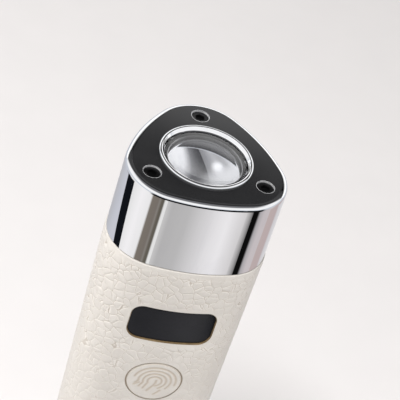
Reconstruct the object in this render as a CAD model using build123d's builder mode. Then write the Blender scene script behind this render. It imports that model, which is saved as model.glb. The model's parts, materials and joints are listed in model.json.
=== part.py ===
from build123d import *
import os
from math import atan2, cos, degrees, radians, sin, sqrt, tan

# Handheld skin-care wand with a rounded-triangle section. It stands on its base: the origin is on the
# body's axis at the base face, +Z points to the treatment lens and the display faces -Y. Millimetres.

# ---- outline of the body: three bowed sides and three round corners ----
side_radius = 46.5  # bow of each side, at the head collar
corner_radius = 12.8  # round of each corner, at the head collar
corner_centre = 8.85  # axis to the centre of each corner's round

# ---- heights ----
body_height = 156.0  # base face to face plate
collar_height = 22.0
base_ring_height = 8.0
handle_taper = 1.0  # degrees that the handle narrows on each side, towards the base

# ---- walls ----
collar_wall = 1.0
rim_width = 1.35  # chrome rim around the face plate and around the base plate
rim_round = 1.3
ledge_width = 1.85  # ledge under the face plate and over the base plate
ledge_thickness = 1.0
sleeve_wall = 0.9
sleeve_proud = 0.25  # sleeve stands this far out from the collar and the base ring
sleeve_roll = 0.45  # rolled edge of the sleeve
shell_wall = 2.0
neck_height = 12.0

# ---- clearances ----
slip = 0.05  # glued, seated or bolted pieces
fit_gap = 0.1  # collar over neck, window in its pocket
frame_gap = 0.3  # inner frame in the shell
button_gap = 0.25  # power button in the shell
seam_gap = 0.25  # end of the sleeve to the collar and to the base ring
shaft_gap = 0.04  # turning or sliding shaft in its bore

# ---- face plate, its screws and inserts ----
plate_thickness = 1.6
screw_circle = 16.4  # axis to each face screw
screw_head_radius = 2.2
screw_head_depth = 1.05
face_screw_sink = 0.5  # screw heads below the face plate
base_screw_sink = 0.2  # screw heads inside the base plate
screw_radius = 1.25
screw_hole_gap = 0.15
socket_size = 2.3  # across the flats
socket_depth = 0.8
face_screw_length = 14.0
base_screw_length = 8.0
insert_radius = 1.9
insert_length = 5.0
insert_relief = 2.0  # bore past the insert
boss_radius = 3.0
neck_boss_height = 8.0
base_boss_height = 7.6

# ---- lens, bezel and light engine ----
bezel_radius = 12.0
bezel_rise = 0.75  # bezel's crest above the face plate
bezel_flange = 1.2  # width of the flange that the face plate holds down
lens_radius = 10.5
lens_shoulder = 0.5  # ledge around the dome, under the bezel's lip
lens_edge = 1.55
dome_rise = 2.5
gasket_width = 1.2
gasket_thickness = 0.8
reflector_wall = 0.4
reflector_throat = 3.4
board_thickness = 1.2
optic_gap = 0.1  # light engine in the head core
emitter_size = 1.7
emitter_pitch = 2.3
emitter_height = 0.8
spreader_flange = 12.0
spreader_thickness = 1.6
fin_height = 3.0
fin_thickness = 0.9
fin_pitch = 2.4
fin_reach = 7.4
optic_screw_circle = 10.9
optic_screw_radius = 0.7
optic_screw_head = 1.4
optic_screw_length = 4.0

# ---- seals ----
seal_height = 1.2
seal_depth = 0.6
seal_offset = 3.0  # end of the collar or ring to the seal

# ---- display ----
display_drop = 41.2  # face plate to the middle of the display window
window_width = 22.0
window_height = 11.2
window_corner = 3.2
window_recess = 0.6
window_thickness = 1.2
window_gasket = 0.3
window_ledge = 1.3  # width of the shell's ledge behind the window
module_width = 19.0
module_height = 8.6
module_depth = 2.2  # the least, and it reaches back to the main board

# ---- power button and its switch ----
button_drop = 61.0  # face plate to the middle of the power button
button_half_width = 7.1
button_half_height = 6.5
button_flange = 1.0
button_flange_thickness = 0.8
button_flange_gap = 0.15
button_travel = 0.35
button_sleeve_gap = 0.4
switch_size = 6.0
switch_rise = 0.5  # free height of the plunger over the switch
plunger_radius = 1.5
plunger_depth = 1.0
plunger_touch = 0.05  # the button's back is bowed, so the plunger stands this far off it

# ---- main board, on the front of the inner frame ----
main_board_width = 21.6
main_board_top = 28.0  # face plate to the top of the board
board_lap = 17.2  # the board reaches this far down past the top of the cell
main_board_thickness = 1.0
board_screw_inset = 3.0
board_screw_radius = 0.9
board_screw_head = 1.7
board_screw_head_height = 0.8
board_screw_length = 4.0
connector_width = 5.0
connector_depth = 2.5
connector_height = 3.0

# ---- inner frame ----
rail_width = 4.0
rail_depth = 3.2
rail_outer = 11.2  # outer side of the front rails
bulkhead = 2.0
floor_bulkhead = 3.0
spine_width = 4.0
spine_depth = 2.0
spine_gap = 0.4  # battery to the rear spine
cup_height = 3.0
cup_wall = 1.2

# ---- battery ----
cell_radius = 9.2
cell_length = 65.0
plug_gap = 1.0  # plugs on the board to the cell
cell_pad = 1.0
cell_pad_width = 4.0

# ---- vibration motor ----
motor_radius = 5.0
motor_length = 15.0
motor_drop = 39.5  # face plate to the motor's seat
shaft_radius = 0.75
shaft_length = 7.0
shaft_depth = 4.0
weight_radius = 4.4
weight_height = 5.0
weight_gap = 1.5
hub_radius = 1.6

# ---- charging port ----
port_width = 8.94
port_thickness = 3.26
port_wall = 0.3
port_back = 1.0
port_recess = 0.9
port_gap = 0.17
tongue_width = 6.7
tongue_thickness = 0.7
tongue_recess = 1.0
port_board_width = 16.0
port_board_back = 5.0
port_board_margin = 1.2  # board past the wires
port_screw_pitch = 12.4

# ---- wires ----
lead_radius = 0.45
lead_spacing = 1.8
lead_bend = 1.2
light_lead_bend = 8.0

# ---- values worked out from the sizes above ----
corner_to_side = side_radius - corner_radius
side_centre = (sqrt(4 * corner_to_side**2 - 3 * corner_centre**2) - corner_centre) / 2
side_half_angle = degrees(atan2(corner_centre * cos(radians(30)), side_centre + corner_centre / 2))
flat_reach = side_radius - side_centre  # axis to the middle of a side
taper_rate = tan(radians(handle_taper))

collar_bottom = body_height - collar_height
sleeve_inset = -sleeve_proud
shell_inset = sleeve_inset + sleeve_wall + slip
inner_inset = shell_inset + shell_wall
neck_inset = collar_wall + fit_gap
neck_top = collar_bottom + neck_height
handle_narrowing = taper_rate * (collar_bottom - base_ring_height)
base_inset = sleeve_proud + handle_narrowing + sleeve_inset  # the base ring's outline
spigot_inset = base_inset + collar_wall + fit_gap

plate_bottom = body_height - plate_thickness
ledge_inset = rim_width + ledge_width
core_top = plate_bottom - ledge_thickness
base_ledge = plate_thickness + ledge_thickness
base_boss_top = base_ledge + base_boss_height
base_screw_circle = screw_circle - base_inset

display_middle = body_height - display_drop
button_middle = body_height - button_drop
board_top = body_height - main_board_top
motor_seat = body_height - motor_drop
motor_top = motor_seat + motor_length
cell_bottom = base_boss_top + floor_bulkhead + cell_pad
cell_top = cell_bottom + cell_length
board_bottom = cell_top - board_lap


def wall_reach(inset, height):
    """Distance from the axis to the middle of the handle's front, at an inset and a height."""
    return flat_reach - inset - taper_rate * (collar_bottom - height)


def polar(reach, angle):
    return (reach * cos(radians(angle)), reach * sin(radians(angle)))


def outline(height, inset):
    """The body's rounded triangle, drawn in by inset, at a height."""
    with BuildSketch(Plane.XY.offset(height)) as shape:
        with BuildLine():
            for turn in (0, 120, 240):
                CenterArc(
                    polar(side_centre, 90 + turn),
                    side_radius - inset,
                    270 - side_half_angle + turn,
                    2 * side_half_angle,
                )
                CenterArc(
                    polar(corner_centre, 330 + turn),
                    corner_radius - inset,
                    270 + side_half_angle + turn,
                    2 * (60 - side_half_angle),
                )
        make_face()
    return shape.sketch


def prism(low, high, inset):
    """Straight solid of the outline between two heights."""
    with BuildPart() as solid:
        extrude(outline(low, inset), amount=high - low)
    return solid.part


def handle_solid(low, high, inset):
    """Solid that narrows with the handle; inset is measured where the handle meets the collar."""
    with BuildPart() as solid:
        start = outline(high, inset + taper_rate * (collar_bottom - high))
        extrude(start, amount=high - low, dir=(0, 0, -1), taper=handle_taper)
    return solid.part


def band(low, high, outer_inset, inner_inset_value):
    """Straight ring between two insets."""
    with BuildPart() as ring:
        add(prism(low, high, outer_inset))
        add(prism(low, high, inner_inset_value), mode=Mode.SUBTRACT)
    return ring.part


def handle_layer(low, high, outer_inset, inner_inset_value):
    """Layer of the handle's wall between two insets."""
    with BuildPart() as layer:
        add(handle_solid(low, high, outer_inset))
        add(handle_solid(low, high, inner_inset_value), mode=Mode.SUBTRACT)
    return layer.part


def window_prism(margin):
    """Rounded rectangle of the display, grown by margin, run out through the front of the handle."""
    with BuildPart() as solid:
        with BuildSketch(Plane.XZ):
            with Locations((0, display_middle)):
                RectangleRounded(
                    window_width + 2 * margin,
                    window_height + 2 * margin,
                    window_corner + margin,
                )
        extrude(amount=2 * flat_reach)
    return solid.part


def button_prism(margin):
    """Oval of the power button, grown by margin, run out through the front of the handle."""
    with BuildPart() as solid:
        with BuildSketch(Plane.XZ):
            with Locations((0, button_middle)):
                Ellipse(button_half_width + margin, button_half_height + margin)
        extrude(amount=2 * flat_reach)
    return solid.part


def front_slab(outer_inset, inner_inset_value, middle, half_height):
    """Piece of a handle layer around a height on the handle."""
    return handle_layer(middle - half_height, middle + half_height, outer_inset, inner_inset_value)


def socket_screw(length):
    """Countersunk hex-socket screw, its head's face at the origin and its shank towards -Z."""
    with BuildPart() as screw:
        with BuildSketch(Plane.XZ):
            with BuildLine():
                Polyline(
                    (0, 0),
                    (screw_head_radius, 0),
                    (screw_head_radius, -0.2),
                    (screw_radius, -screw_head_depth),
                    (screw_radius, -length),
                    (0, -length),
                    close=True,
                )
            make_face()
        revolve(axis=Axis.Z)
        with BuildSketch(Plane.XY):
            RegularPolygon(socket_size / 2, 6, major_radius=False)
        extrude(amount=-socket_depth, mode=Mode.SUBTRACT)
    return screw.part


def screw_seat(length, sink):
    """Countersink and clearance hole for a socket screw whose head lies this far below the origin."""
    with BuildPart() as seat:
        with BuildSketch(Plane.XZ):
            with BuildLine():
                Polyline(
                    (0, 0),
                    (screw_head_radius + slip, 0),
                    (screw_head_radius + slip, -sink - 0.2 - slip),
                    (screw_radius + screw_hole_gap, -sink - screw_head_depth - slip),
                    (screw_radius + screw_hole_gap, -length),
                    (0, -length),
                    close=True,
                )
            make_face()
        revolve(axis=Axis.Z)
    return seat.part


def threaded_insert():
    """Brass insert, its top face at the origin, with a knurl groove."""
    with BuildPart() as insert:
        with Locations((0, 0, -insert_length / 2)):
            Cylinder(insert_radius, insert_length)
            Cylinder(screw_radius + 0.02, insert_length, mode=Mode.SUBTRACT)
        with BuildSketch(Plane.XZ):
            with Locations((insert_radius, -insert_length / 2)):
                Rectangle(0.5, 0.8)
        revolve(axis=Axis.Z, mode=Mode.SUBTRACT)
    return insert.part


def small_screw(shank_radius, head_radius, head_height, length):
    """Pan-head screw, the underside of its head at the origin and its shank towards -Z."""
    with BuildPart() as screw:
        Cylinder(
            head_radius, head_height, align=(Align.CENTER, Align.CENTER, Align.MIN)
        )
        fillet(screw.edges().sort_by(Axis.Z)[-1], head_height / 3)
        Cylinder(shank_radius, length, align=(Align.CENTER, Align.CENTER, Align.MAX))
        with BuildSketch(Plane.XY.offset(head_height)):
            Rectangle(head_radius, head_height / 3)
            Rectangle(head_height / 3, head_radius)
        extrude(amount=-head_height / 2, mode=Mode.SUBTRACT)
    return screw.part


def lead(points, bends):
    """One insulated wire along a route of straight runs joined by arcs."""
    with BuildPart() as wire:
        with BuildLine() as route:
            if len(points) > 2:
                FilletPolyline(*points, radius=bends)
            else:
                Line(*points)
        with BuildSketch(Plane(origin=route.line @ 0, z_dir=route.line % 0)):
            Circle(lead_radius)
        sweep()
    return wire.part


# ================= head =================

with BuildPart() as head_collar:
    extrude(outline(collar_bottom, 0), amount=collar_height)
    fillet(head_collar.edges().group_by(Axis.Z)[-1], rim_round)
    add(prism(collar_bottom, core_top, collar_wall), mode=Mode.SUBTRACT)
    add(prism(core_top, plate_bottom, ledge_inset), mode=Mode.SUBTRACT)
    add(prism(plate_bottom, body_height, rim_width), mode=Mode.SUBTRACT)
head_collar.part.label = "head_collar"

with BuildPart() as face_plate:
    extrude(outline(plate_bottom, rim_width + slip), amount=plate_thickness)
    chamfer(face_plate.edges().group_by(Axis.Z)[-1], 0.15)
    with Locations((0, 0, body_height - plate_thickness / 2)):
        Cylinder(bezel_radius + slip, plate_thickness, mode=Mode.SUBTRACT)
    with Locations((0, 0, body_height)), PolarLocations(screw_circle, 3, start_angle=90):
        add(screw_seat(2 * plate_thickness, face_screw_sink), mode=Mode.SUBTRACT)
face_plate.part.label = "face_plate"

with BuildPart() as face_screws:
    with Locations((0, 0, body_height - face_screw_sink)), PolarLocations(screw_circle, 3, start_angle=90):
        add(socket_screw(face_screw_length))
face_screws.part.label = "face_screws"

# The bezel is a turned ring: a flange under the face plate, a round crest over it, and a lip that
# holds the lens down by its shoulder.
dome_radius = lens_radius - lens_shoulder
lip_radius = dome_radius + optic_gap
lens_base = core_top
lens_top = lens_base + lens_edge
bezel_crest = body_height + bezel_rise
crest_radius = 0.6

with BuildPart() as lens_bezel:
    with BuildSketch(Plane.XZ):
        with BuildLine():
            Polyline(
                (lens_radius + optic_gap, core_top),
                (bezel_radius + bezel_flange, core_top),
                (bezel_radius + bezel_flange, plate_bottom),
                (bezel_radius, plate_bottom),
                (bezel_radius, bezel_crest - crest_radius),
            )
            RadiusArc(
                (bezel_radius, bezel_crest - crest_radius),
                (bezel_radius - crest_radius, bezel_crest),
                -crest_radius,
            )
            Polyline(
                (bezel_radius - crest_radius, bezel_crest),
                (bezel_radius - crest_radius - 0.25, bezel_crest - 0.08),
                (lip_radius + 0.45, body_height - 0.15),
                (lip_radius + 0.4, body_height - 0.35),
                (lip_radius, body_height - 0.45),
                (lip_radius, lens_top + slip),
                (lens_radius + optic_gap, lens_top + slip),
                (lens_radius + optic_gap, core_top),
            )
        make_face()
    revolve(axis=Axis.Z)
lens_bezel.part.label = "lens_bezel"

with BuildPart() as lens:
    with BuildSketch(Plane.XZ):
        with BuildLine():
            Polyline(
                (0, lens_base),
                (lens_radius, lens_base),
                (lens_radius, lens_top),
                (dome_radius, lens_top),
            )
            dome_curve = (dome_radius**2 + dome_rise**2) / (2 * dome_rise)
            RadiusArc((dome_radius, lens_top), (0, lens_top + dome_rise), -dome_curve)
            Line((0, lens_top + dome_rise), (0, lens_base))
        make_face()
    revolve(axis=Axis.Z)
lens.part.label = "lens"

gasket_base = core_top - gasket_thickness
bore_radius = lens_radius - gasket_width

with BuildPart() as lens_gasket:
    with Locations((0, 0, gasket_base + gasket_thickness / 2)):
        Cylinder(lens_radius, gasket_thickness)
        Cylinder(bore_radius, gasket_thickness, mode=Mode.SUBTRACT)
lens_gasket.part.label = "lens_gasket"

led_board_top = neck_top + board_thickness
reflector_radius = bore_radius - optic_gap
reflector_top = lens_base - optic_gap

with BuildPart() as reflector:
    with BuildSketch(Plane.XZ):
        with BuildLine():
            Polyline(
                (reflector_radius - reflector_wall, reflector_top),
                (reflector_radius, reflector_top),
                (reflector_radius, led_board_top),
                (reflector_throat, led_board_top),
                (reflector_throat, led_board_top + reflector_wall),
            )
            RadiusArc(
                (reflector_throat, led_board_top + reflector_wall),
                (reflector_radius - reflector_wall, reflector_top),
                11.0,
            )
        make_face()
    revolve(axis=Axis.Z)
reflector.part.label = "reflector"

with BuildPart() as led_board:
    with Locations((0, 0, neck_top + board_thickness / 2)):
        Cylinder(reflector_radius, board_thickness)
led_board.part.label = "led_board"

with BuildPart() as led_emitters:
    with Locations((0, 0, led_board_top + emitter_height / 2)):
        with GridLocations(emitter_pitch, emitter_pitch, 2, 2):
            Box(emitter_size, emitter_size, emitter_height)
    chamfer(led_emitters.faces().group_by(Axis.Z)[-1].edges(), 0.15)
led_emitters.part.label = "led_emitters"

light_lead_reach = 8.2  # the light leads pass through a notch at the front of the spreader

with BuildPart() as heat_spreader:
    with Locations((0, 0, neck_top - spreader_thickness / 2)):
        Cylinder(spreader_flange, spreader_thickness)
    with BuildSketch(Plane.XY.offset(neck_top - spreader_thickness)):
        with GridLocations(0, fin_pitch, 1, 5):
            Rectangle(2 * fin_reach, fin_thickness)
        Circle(fin_reach, mode=Mode.INTERSECT)
    extrude(amount=-fin_height)
    with BuildSketch(Plane.XY.offset(neck_top)):
        with Locations((0, -light_lead_reach)):
            SlotOverall(2 * lead_spacing + 4 * lead_radius, 4 * lead_radius)
    extrude(amount=-spreader_thickness - fin_height, mode=Mode.SUBTRACT)
    with PolarLocations(optic_screw_circle, 3, start_angle=30):
        with Locations((0, 0, neck_top - spreader_thickness / 2)):
            Cylinder(
                optic_screw_radius + fit_gap, spreader_thickness, mode=Mode.SUBTRACT
            )
heat_spreader.part.label = "heat_spreader"

with BuildPart() as optic_screws:
    with PolarLocations(optic_screw_circle, 3, start_angle=30):
        with Locations(Location((0, 0, neck_top - spreader_thickness), (180, 0, 0))):
            add(
                small_screw(
                    optic_screw_radius, optic_screw_head, 1.0, optic_screw_length
                )
            )
optic_screws.part.label = "optic_screws"

with BuildPart() as head_core:
    extrude(outline(neck_top, neck_inset), amount=core_top - neck_top)
    with Locations((0, 0, neck_top)):
        Cylinder(
            bore_radius,
            core_top - neck_top,
            align=(Align.CENTER, Align.CENTER, Align.MIN),
            mode=Mode.SUBTRACT,
        )
    with Locations((0, 0, gasket_base)):
        Cylinder(
            lens_radius + slip,
            gasket_thickness,
            align=(Align.CENTER, Align.CENTER, Align.MIN),
            mode=Mode.SUBTRACT,
        )
    with Locations((0, 0, neck_top)):
        with PolarLocations(screw_circle, 3, start_angle=90):
            Cylinder(
                screw_radius + screw_hole_gap,
                core_top - neck_top,
                align=(Align.CENTER, Align.CENTER, Align.MIN),
                mode=Mode.SUBTRACT,
            )
        with PolarLocations(optic_screw_circle, 3, start_angle=30):
            Cylinder(
                optic_screw_radius + slip,
                optic_screw_length - spreader_thickness + 0.5,
                align=(Align.CENTER, Align.CENTER, Align.MIN),
                mode=Mode.SUBTRACT,
            )
head_core.part.label = "head_core"

head_seal_base = collar_bottom + seal_offset


def seal_groove(floor, surface_inset):
    """Groove for a seal, in a surface at an inset."""
    outer_inset = surface_inset
    depth_inset = surface_inset + seal_depth + slip
    return band(floor - slip, floor + seal_height + slip, outer_inset, depth_inset)


def seal_band(floor, outer_inset, surface_inset):
    """Square seal that fills its groove and stands out to the ring around it."""
    return band(floor, floor + seal_height, outer_inset, surface_inset + seal_depth)


with BuildPart() as head_seal:
    add(seal_band(head_seal_base, collar_wall + slip, neck_inset))
head_seal.part.label = "head_seal"

with BuildPart() as neck_inserts:
    with Locations((0, 0, neck_top - slip)), PolarLocations(screw_circle, 3, start_angle=90):
        add(threaded_insert())
neck_inserts.part.label = "neck_inserts"

# ================= handle =================

window_face = sleeve_inset + window_recess
window_back = window_face + window_thickness
ledge_face = window_back + window_gasket
window_half = window_height / 2 + 1
button_half = button_half_height + button_flange + 1

with BuildPart() as window_pocket:
    add(front_slab(sleeve_inset, ledge_face, display_middle, window_half))
    add(window_prism(fit_gap), mode=Mode.INTERSECT)


def boss_cylinders(circle, floor, radius, length):
    """Three upright cylinders on the screw circle, standing on a floor."""
    with BuildPart() as posts:
        with Locations((0, 0, floor + length / 2)), PolarLocations(circle, 3, start_angle=90):
            Cylinder(radius, length)
    return posts.part


base_seal_base = base_ring_height - seal_offset - seal_height

with BuildPart() as handle_shell:
    add(handle_solid(base_ring_height, collar_bottom, shell_inset))
    add(prism(collar_bottom, neck_top, neck_inset))
    add(prism(base_ledge, base_ring_height, spigot_inset))
    add(prism(collar_bottom, neck_top, inner_inset), mode=Mode.SUBTRACT)
    add(handle_solid(base_ledge, collar_bottom, inner_inset), mode=Mode.SUBTRACT)
    neck_boss_floor = neck_top - neck_boss_height
    add(boss_cylinders(screw_circle, neck_boss_floor, boss_radius, neck_boss_height))
    add(boss_cylinders(base_screw_circle, base_ledge, boss_radius, base_boss_height))
    bore = insert_radius + slip
    neck_bore = insert_length + insert_relief
    add(boss_cylinders(screw_circle, neck_top - neck_bore, bore, neck_bore), mode=Mode.SUBTRACT)
    base_bore = insert_length + insert_relief / 2
    add(boss_cylinders(base_screw_circle, base_ledge, bore, base_bore), mode=Mode.SUBTRACT)
    add(seal_groove(head_seal_base, neck_inset), mode=Mode.SUBTRACT)
    add(seal_groove(base_seal_base, spigot_inset), mode=Mode.SUBTRACT)
    add(window_pocket.part, mode=Mode.SUBTRACT)
    add(window_prism(-window_ledge), mode=Mode.SUBTRACT)
    add(button_prism(button_gap), mode=Mode.SUBTRACT)
handle_shell.part.label = "handle_shell"

with BuildPart() as base_seal:
    add(seal_band(base_seal_base, base_inset + collar_wall + slip, spigot_inset))
base_seal.part.label = "base_seal"

with BuildPart() as leather_sleeve:
    add(handle_solid(base_ring_height + seam_gap, collar_bottom - seam_gap, sleeve_inset))
    fillet(leather_sleeve.edges().group_by(Axis.Z)[-1], sleeve_roll)
    fillet(leather_sleeve.edges().group_by(Axis.Z)[0], sleeve_roll)
    add(
        handle_solid(base_ring_height, collar_bottom, sleeve_inset + sleeve_wall),
        mode=Mode.SUBTRACT,
    )
    add(window_prism(fit_gap), mode=Mode.SUBTRACT)
    add(button_prism(button_sleeve_gap), mode=Mode.SUBTRACT)
leather_sleeve.part.label = "leather_sleeve"

with BuildPart() as display_window:
    add(front_slab(window_face, window_back, display_middle, window_half))
    add(window_prism(0), mode=Mode.INTERSECT)
display_window.part.label = "display_window"

with BuildPart() as display_gasket:
    add(front_slab(window_back + slip, ledge_face, display_middle, window_half))
    add(window_prism(0), mode=Mode.INTERSECT)
    add(window_prism(-window_ledge), mode=Mode.SUBTRACT)
display_gasket.part.label = "display_gasket"

# ================= electronics =================

# The display module is flat and stands behind the bowed wall. It sets how far forward the main board
# is, unless the board's lower screws come near the narrower wall there.
board_screw_x = rail_outer - rail_width / 2


def wall_behind(half_width, height):
    """Distance from the axis to the shell's inner face, beside the middle of the front."""
    bow = side_radius - inner_inset
    return wall_reach(inner_inset, height) - bow + sqrt(bow**2 - half_width**2)


module_front = wall_behind(module_width / 2, display_middle - module_height / 2) - slip
screw_room = wall_behind(board_screw_x + board_screw_head, board_bottom) - fit_gap
board_front = min(module_front - module_depth, screw_room - board_screw_head_height)
board_back = board_front - main_board_thickness
plug_back = board_back - connector_depth
cell_offset = cell_radius + plug_gap - plug_back  # cell's axis behind the body's axis


def front_box(width, height, front, depth, middle_x, middle_z):
    """Box with its front face at a distance before the axis."""
    with BuildPart() as block:
        with Locations((middle_x, -front, middle_z)):
            Box(width, depth, height, align=(Align.CENTER, Align.MIN, Align.CENTER))
    return block.part


board_screw_heights = (board_bottom + board_screw_inset, board_top - board_screw_inset)
board_screw_places = [
    (x, -board_front, z) for x in (-board_screw_x, board_screw_x) for z in board_screw_heights
]
facing_front = (90, 0, 0)  # turns a piece's +Z towards -Y

with BuildPart() as main_board:
    add(
        front_box(
            main_board_width,
            board_top - board_bottom,
            board_front,
            main_board_thickness,
            0,
            (board_top + board_bottom) / 2,
        )
    )
    fillet(main_board.edges().filter_by(Axis.Y), 1.5)
    for place in board_screw_places:
        with Locations(Location(place, facing_front)):
            Cylinder(
                board_screw_radius + fit_gap,
                3 * main_board_thickness,
                mode=Mode.SUBTRACT,
            )
main_board.part.label = "main_board"

with BuildPart() as board_screws:
    for place in board_screw_places:
        with Locations(Location(place, facing_front)):
            add(
                small_screw(
                    board_screw_radius,
                    board_screw_head,
                    board_screw_head_height,
                    board_screw_length,
                )
            )
board_screws.part.label = "board_screws"

with BuildPart() as display_module:
    module_reach = module_front - board_front
    add(front_box(module_width, module_height, module_front, module_reach, 0, display_middle))
display_module.part.label = "display_module"

charge_plug = board_bottom + connector_height / 2 + 1.0
cell_plug = cell_top + cell_pad + bulkhead + 7.3
motor_plug = motor_seat - bulkhead - 7.0
light_plug = board_top - connector_height / 2 - 1.5
plug_heights = (charge_plug, cell_plug, motor_plug, light_plug)
chip_offset = 4.8  # chips stand to both sides of the wires

# Chips on the back of the main board: width, height, depth, x and height.
chips = (
    (7.0, 7.0, 1.0, 0, (cell_plug + motor_plug) / 2),
    (4.0, 4.0, 0.9, -chip_offset, cell_plug - 3.5),
    (4.0, 4.0, 1.4, chip_offset, cell_plug - 3.5),
    (3.0, 3.0, 0.8, chip_offset, charge_plug + 5.5),
    (2.0, 3.2, 0.8, -chip_offset, charge_plug + 5.5),
    (3.0, 3.0, 0.9, -chip_offset, light_plug - 5.0),
)

with BuildPart() as board_chips:
    for width, height, depth, x, middle in chips:
        add(front_box(width, height, board_back, depth, x, middle))
board_chips.part.label = "board_chips"

with BuildPart() as board_connectors:
    for height in plug_heights:
        add(
            front_box(connector_width, connector_height, board_back, connector_depth, 0, height)
        )
board_connectors.part.label = "board_connectors"

button_back = (
    wall_reach(inner_inset, button_middle) - button_flange_gap - button_flange_thickness
)
plunger_tip = button_back - plunger_touch
switch_face = plunger_tip - switch_rise
switch_depth = switch_face - board_front

with BuildPart() as switch_body:
    add(front_box(switch_size, switch_size, switch_face, switch_depth, 0, button_middle))
    fillet(switch_body.edges().filter_by(Axis.Y), 0.6)
    with Locations(Location((0, -switch_face, button_middle), facing_front)):
        Cylinder(
            plunger_radius + shaft_gap,
            2 * plunger_depth,
            mode=Mode.SUBTRACT,
        )
switch_body.part.label = "switch_body"

with BuildPart() as switch_plunger:
    with Locations(Location((0, -plunger_tip, button_middle), facing_front)):
        Cylinder(
            plunger_radius,
            switch_rise + plunger_depth - button_travel - fit_gap,
            align=(Align.CENTER, Align.CENTER, Align.MAX),
        )
switch_plunger.part.label = "switch_plunger"

flange_face = inner_inset + button_flange_gap
flange_back = flange_face + button_flange_thickness

with BuildPart() as button_retainer:
    add(front_slab(flange_face, flange_back, button_middle, button_half))
    add(button_prism(button_flange), mode=Mode.INTERSECT)

with BuildPart() as power_button:
    add(front_slab(sleeve_inset, flange_back, button_middle, button_half))
    add(button_prism(0), mode=Mode.INTERSECT)
    add(button_retainer.part)
power_button.part.label = "power_button"

# ================= inner frame, battery and motor =================

rail_top = neck_top - spreader_thickness - frame_gap
notch_radius = boss_radius + frame_gap
bulkheads = (
    (base_boss_top, floor_bulkhead),
    (cell_top + cell_pad, bulkhead),
    (motor_seat - bulkhead, bulkhead),
    (motor_top - bulkhead, bulkhead),
)
spine_front = cell_offset + cell_radius + spine_gap
lead_reach = board_back - connector_depth / 2  # wires run at this distance before the axis

with BuildPart() as inner_frame:
    for floor, thickness in bulkheads:
        add(handle_solid(floor, floor + thickness, inner_inset + frame_gap))
    for side in (-1, 1):
        rail_middle = side * (rail_outer - rail_width / 2)
        with Locations((rail_middle, -board_back, base_boss_top)):
            Box(
                rail_width,
                rail_depth,
                rail_top - base_boss_top,
                align=(Align.CENTER, Align.MIN, Align.MIN),
            )
    with Locations((0, spine_front, base_boss_top)):
        Box(
            spine_width,
            spine_depth,
            motor_top - base_boss_top,
            align=(Align.CENTER, Align.MIN, Align.MIN),
        )
    add(handle_solid(base_boss_top, rail_top, inner_inset + frame_gap), mode=Mode.INTERSECT)
    with Locations((0, 0, motor_seat)):
        Cylinder(
            motor_radius + fit_gap + cup_wall,
            cup_height,
            align=(Align.CENTER, Align.CENTER, Align.MIN),
        )
        Cylinder(
            motor_radius + fit_gap,
            motor_length,
            align=(Align.CENTER, Align.CENTER, Align.MIN),
            mode=Mode.SUBTRACT,
        )
    with Locations((0, 0, motor_seat - bulkhead / 2)):
        Cylinder(motor_radius - 1.5, bulkhead, mode=Mode.SUBTRACT)
    with Locations((0, cell_offset, cell_top + cell_pad + bulkhead / 2)):
        Cylinder(cell_radius - cell_pad_width - 0.5, bulkhead, mode=Mode.SUBTRACT)
    with Locations((0, 0, base_boss_top)), PolarLocations(screw_circle, 3, start_angle=90):
        Cylinder(
            notch_radius,
            body_height,
            align=(Align.CENTER, Align.CENTER, Align.MIN),
            mode=Mode.SUBTRACT,
        )
    front_of_board = 2 * flat_reach - board_back
    with Locations((0, -board_back, base_boss_top + floor_bulkhead)):
        Box(
            4 * flat_reach,
            front_of_board,
            body_height,
            align=(Align.CENTER, Align.MAX, Align.MIN),
            mode=Mode.SUBTRACT,
        )
    with Locations((0, -lead_reach, base_boss_top)):
        Box(
            2 * lead_spacing + 4 * lead_radius,
            connector_depth + 2 * fit_gap,
            body_height,
            align=(Align.CENTER, Align.CENTER, Align.MIN),
            mode=Mode.SUBTRACT,
        )
    for place in board_screw_places:
        with Locations(Location(place, facing_front)):
            Cylinder(
                board_screw_radius + slip,
                board_screw_length + fit_gap,
                align=(Align.CENTER, Align.CENTER, Align.MAX),
                mode=Mode.SUBTRACT,
            )
    with Locations((0, 0, base_boss_top)), GridLocations(port_screw_pitch, 0, 2, 1):
        Cylinder(
            board_screw_radius + slip,
            board_screw_length + fit_gap - board_thickness,
            align=(Align.CENTER, Align.CENTER, Align.MIN),
            mode=Mode.SUBTRACT,
        )
inner_frame.part.label = "inner_frame"

with BuildPart() as battery_cell:
    with Locations((0, cell_offset, cell_bottom)):
        Cylinder(cell_radius, cell_length, align=(Align.CENTER, Align.CENTER, Align.MIN))
    fillet(battery_cell.edges(), 0.6)
battery_cell.part.label = "battery_cell"

with BuildPart() as cell_pads:
    for height in (cell_bottom - cell_pad, cell_top):
        with Locations((0, cell_offset, height + cell_pad / 2)):
            Cylinder(cell_radius - 0.5, cell_pad)
            Cylinder(cell_radius - cell_pad_width, cell_pad, mode=Mode.SUBTRACT)
cell_pads.part.label = "cell_pads"

with BuildPart() as motor_can:
    with Locations((0, 0, motor_seat)):
        Cylinder(motor_radius, motor_length, align=(Align.CENTER, Align.CENTER, Align.MIN))
    fillet(motor_can.edges(), 0.5)
    with Locations((0, 0, motor_top)):
        Cylinder(
            shaft_radius + shaft_gap,
            2 * shaft_depth,
            mode=Mode.SUBTRACT,
        )
motor_can.part.label = "motor_can"

with BuildPart() as motor_shaft:
    with Locations((0, 0, motor_top - shaft_depth + fit_gap)):
        Cylinder(
            shaft_radius,
            shaft_depth - fit_gap + shaft_length,
            align=(Align.CENTER, Align.CENTER, Align.MIN),
        )
motor_shaft.part.label = "motor_shaft"

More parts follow.
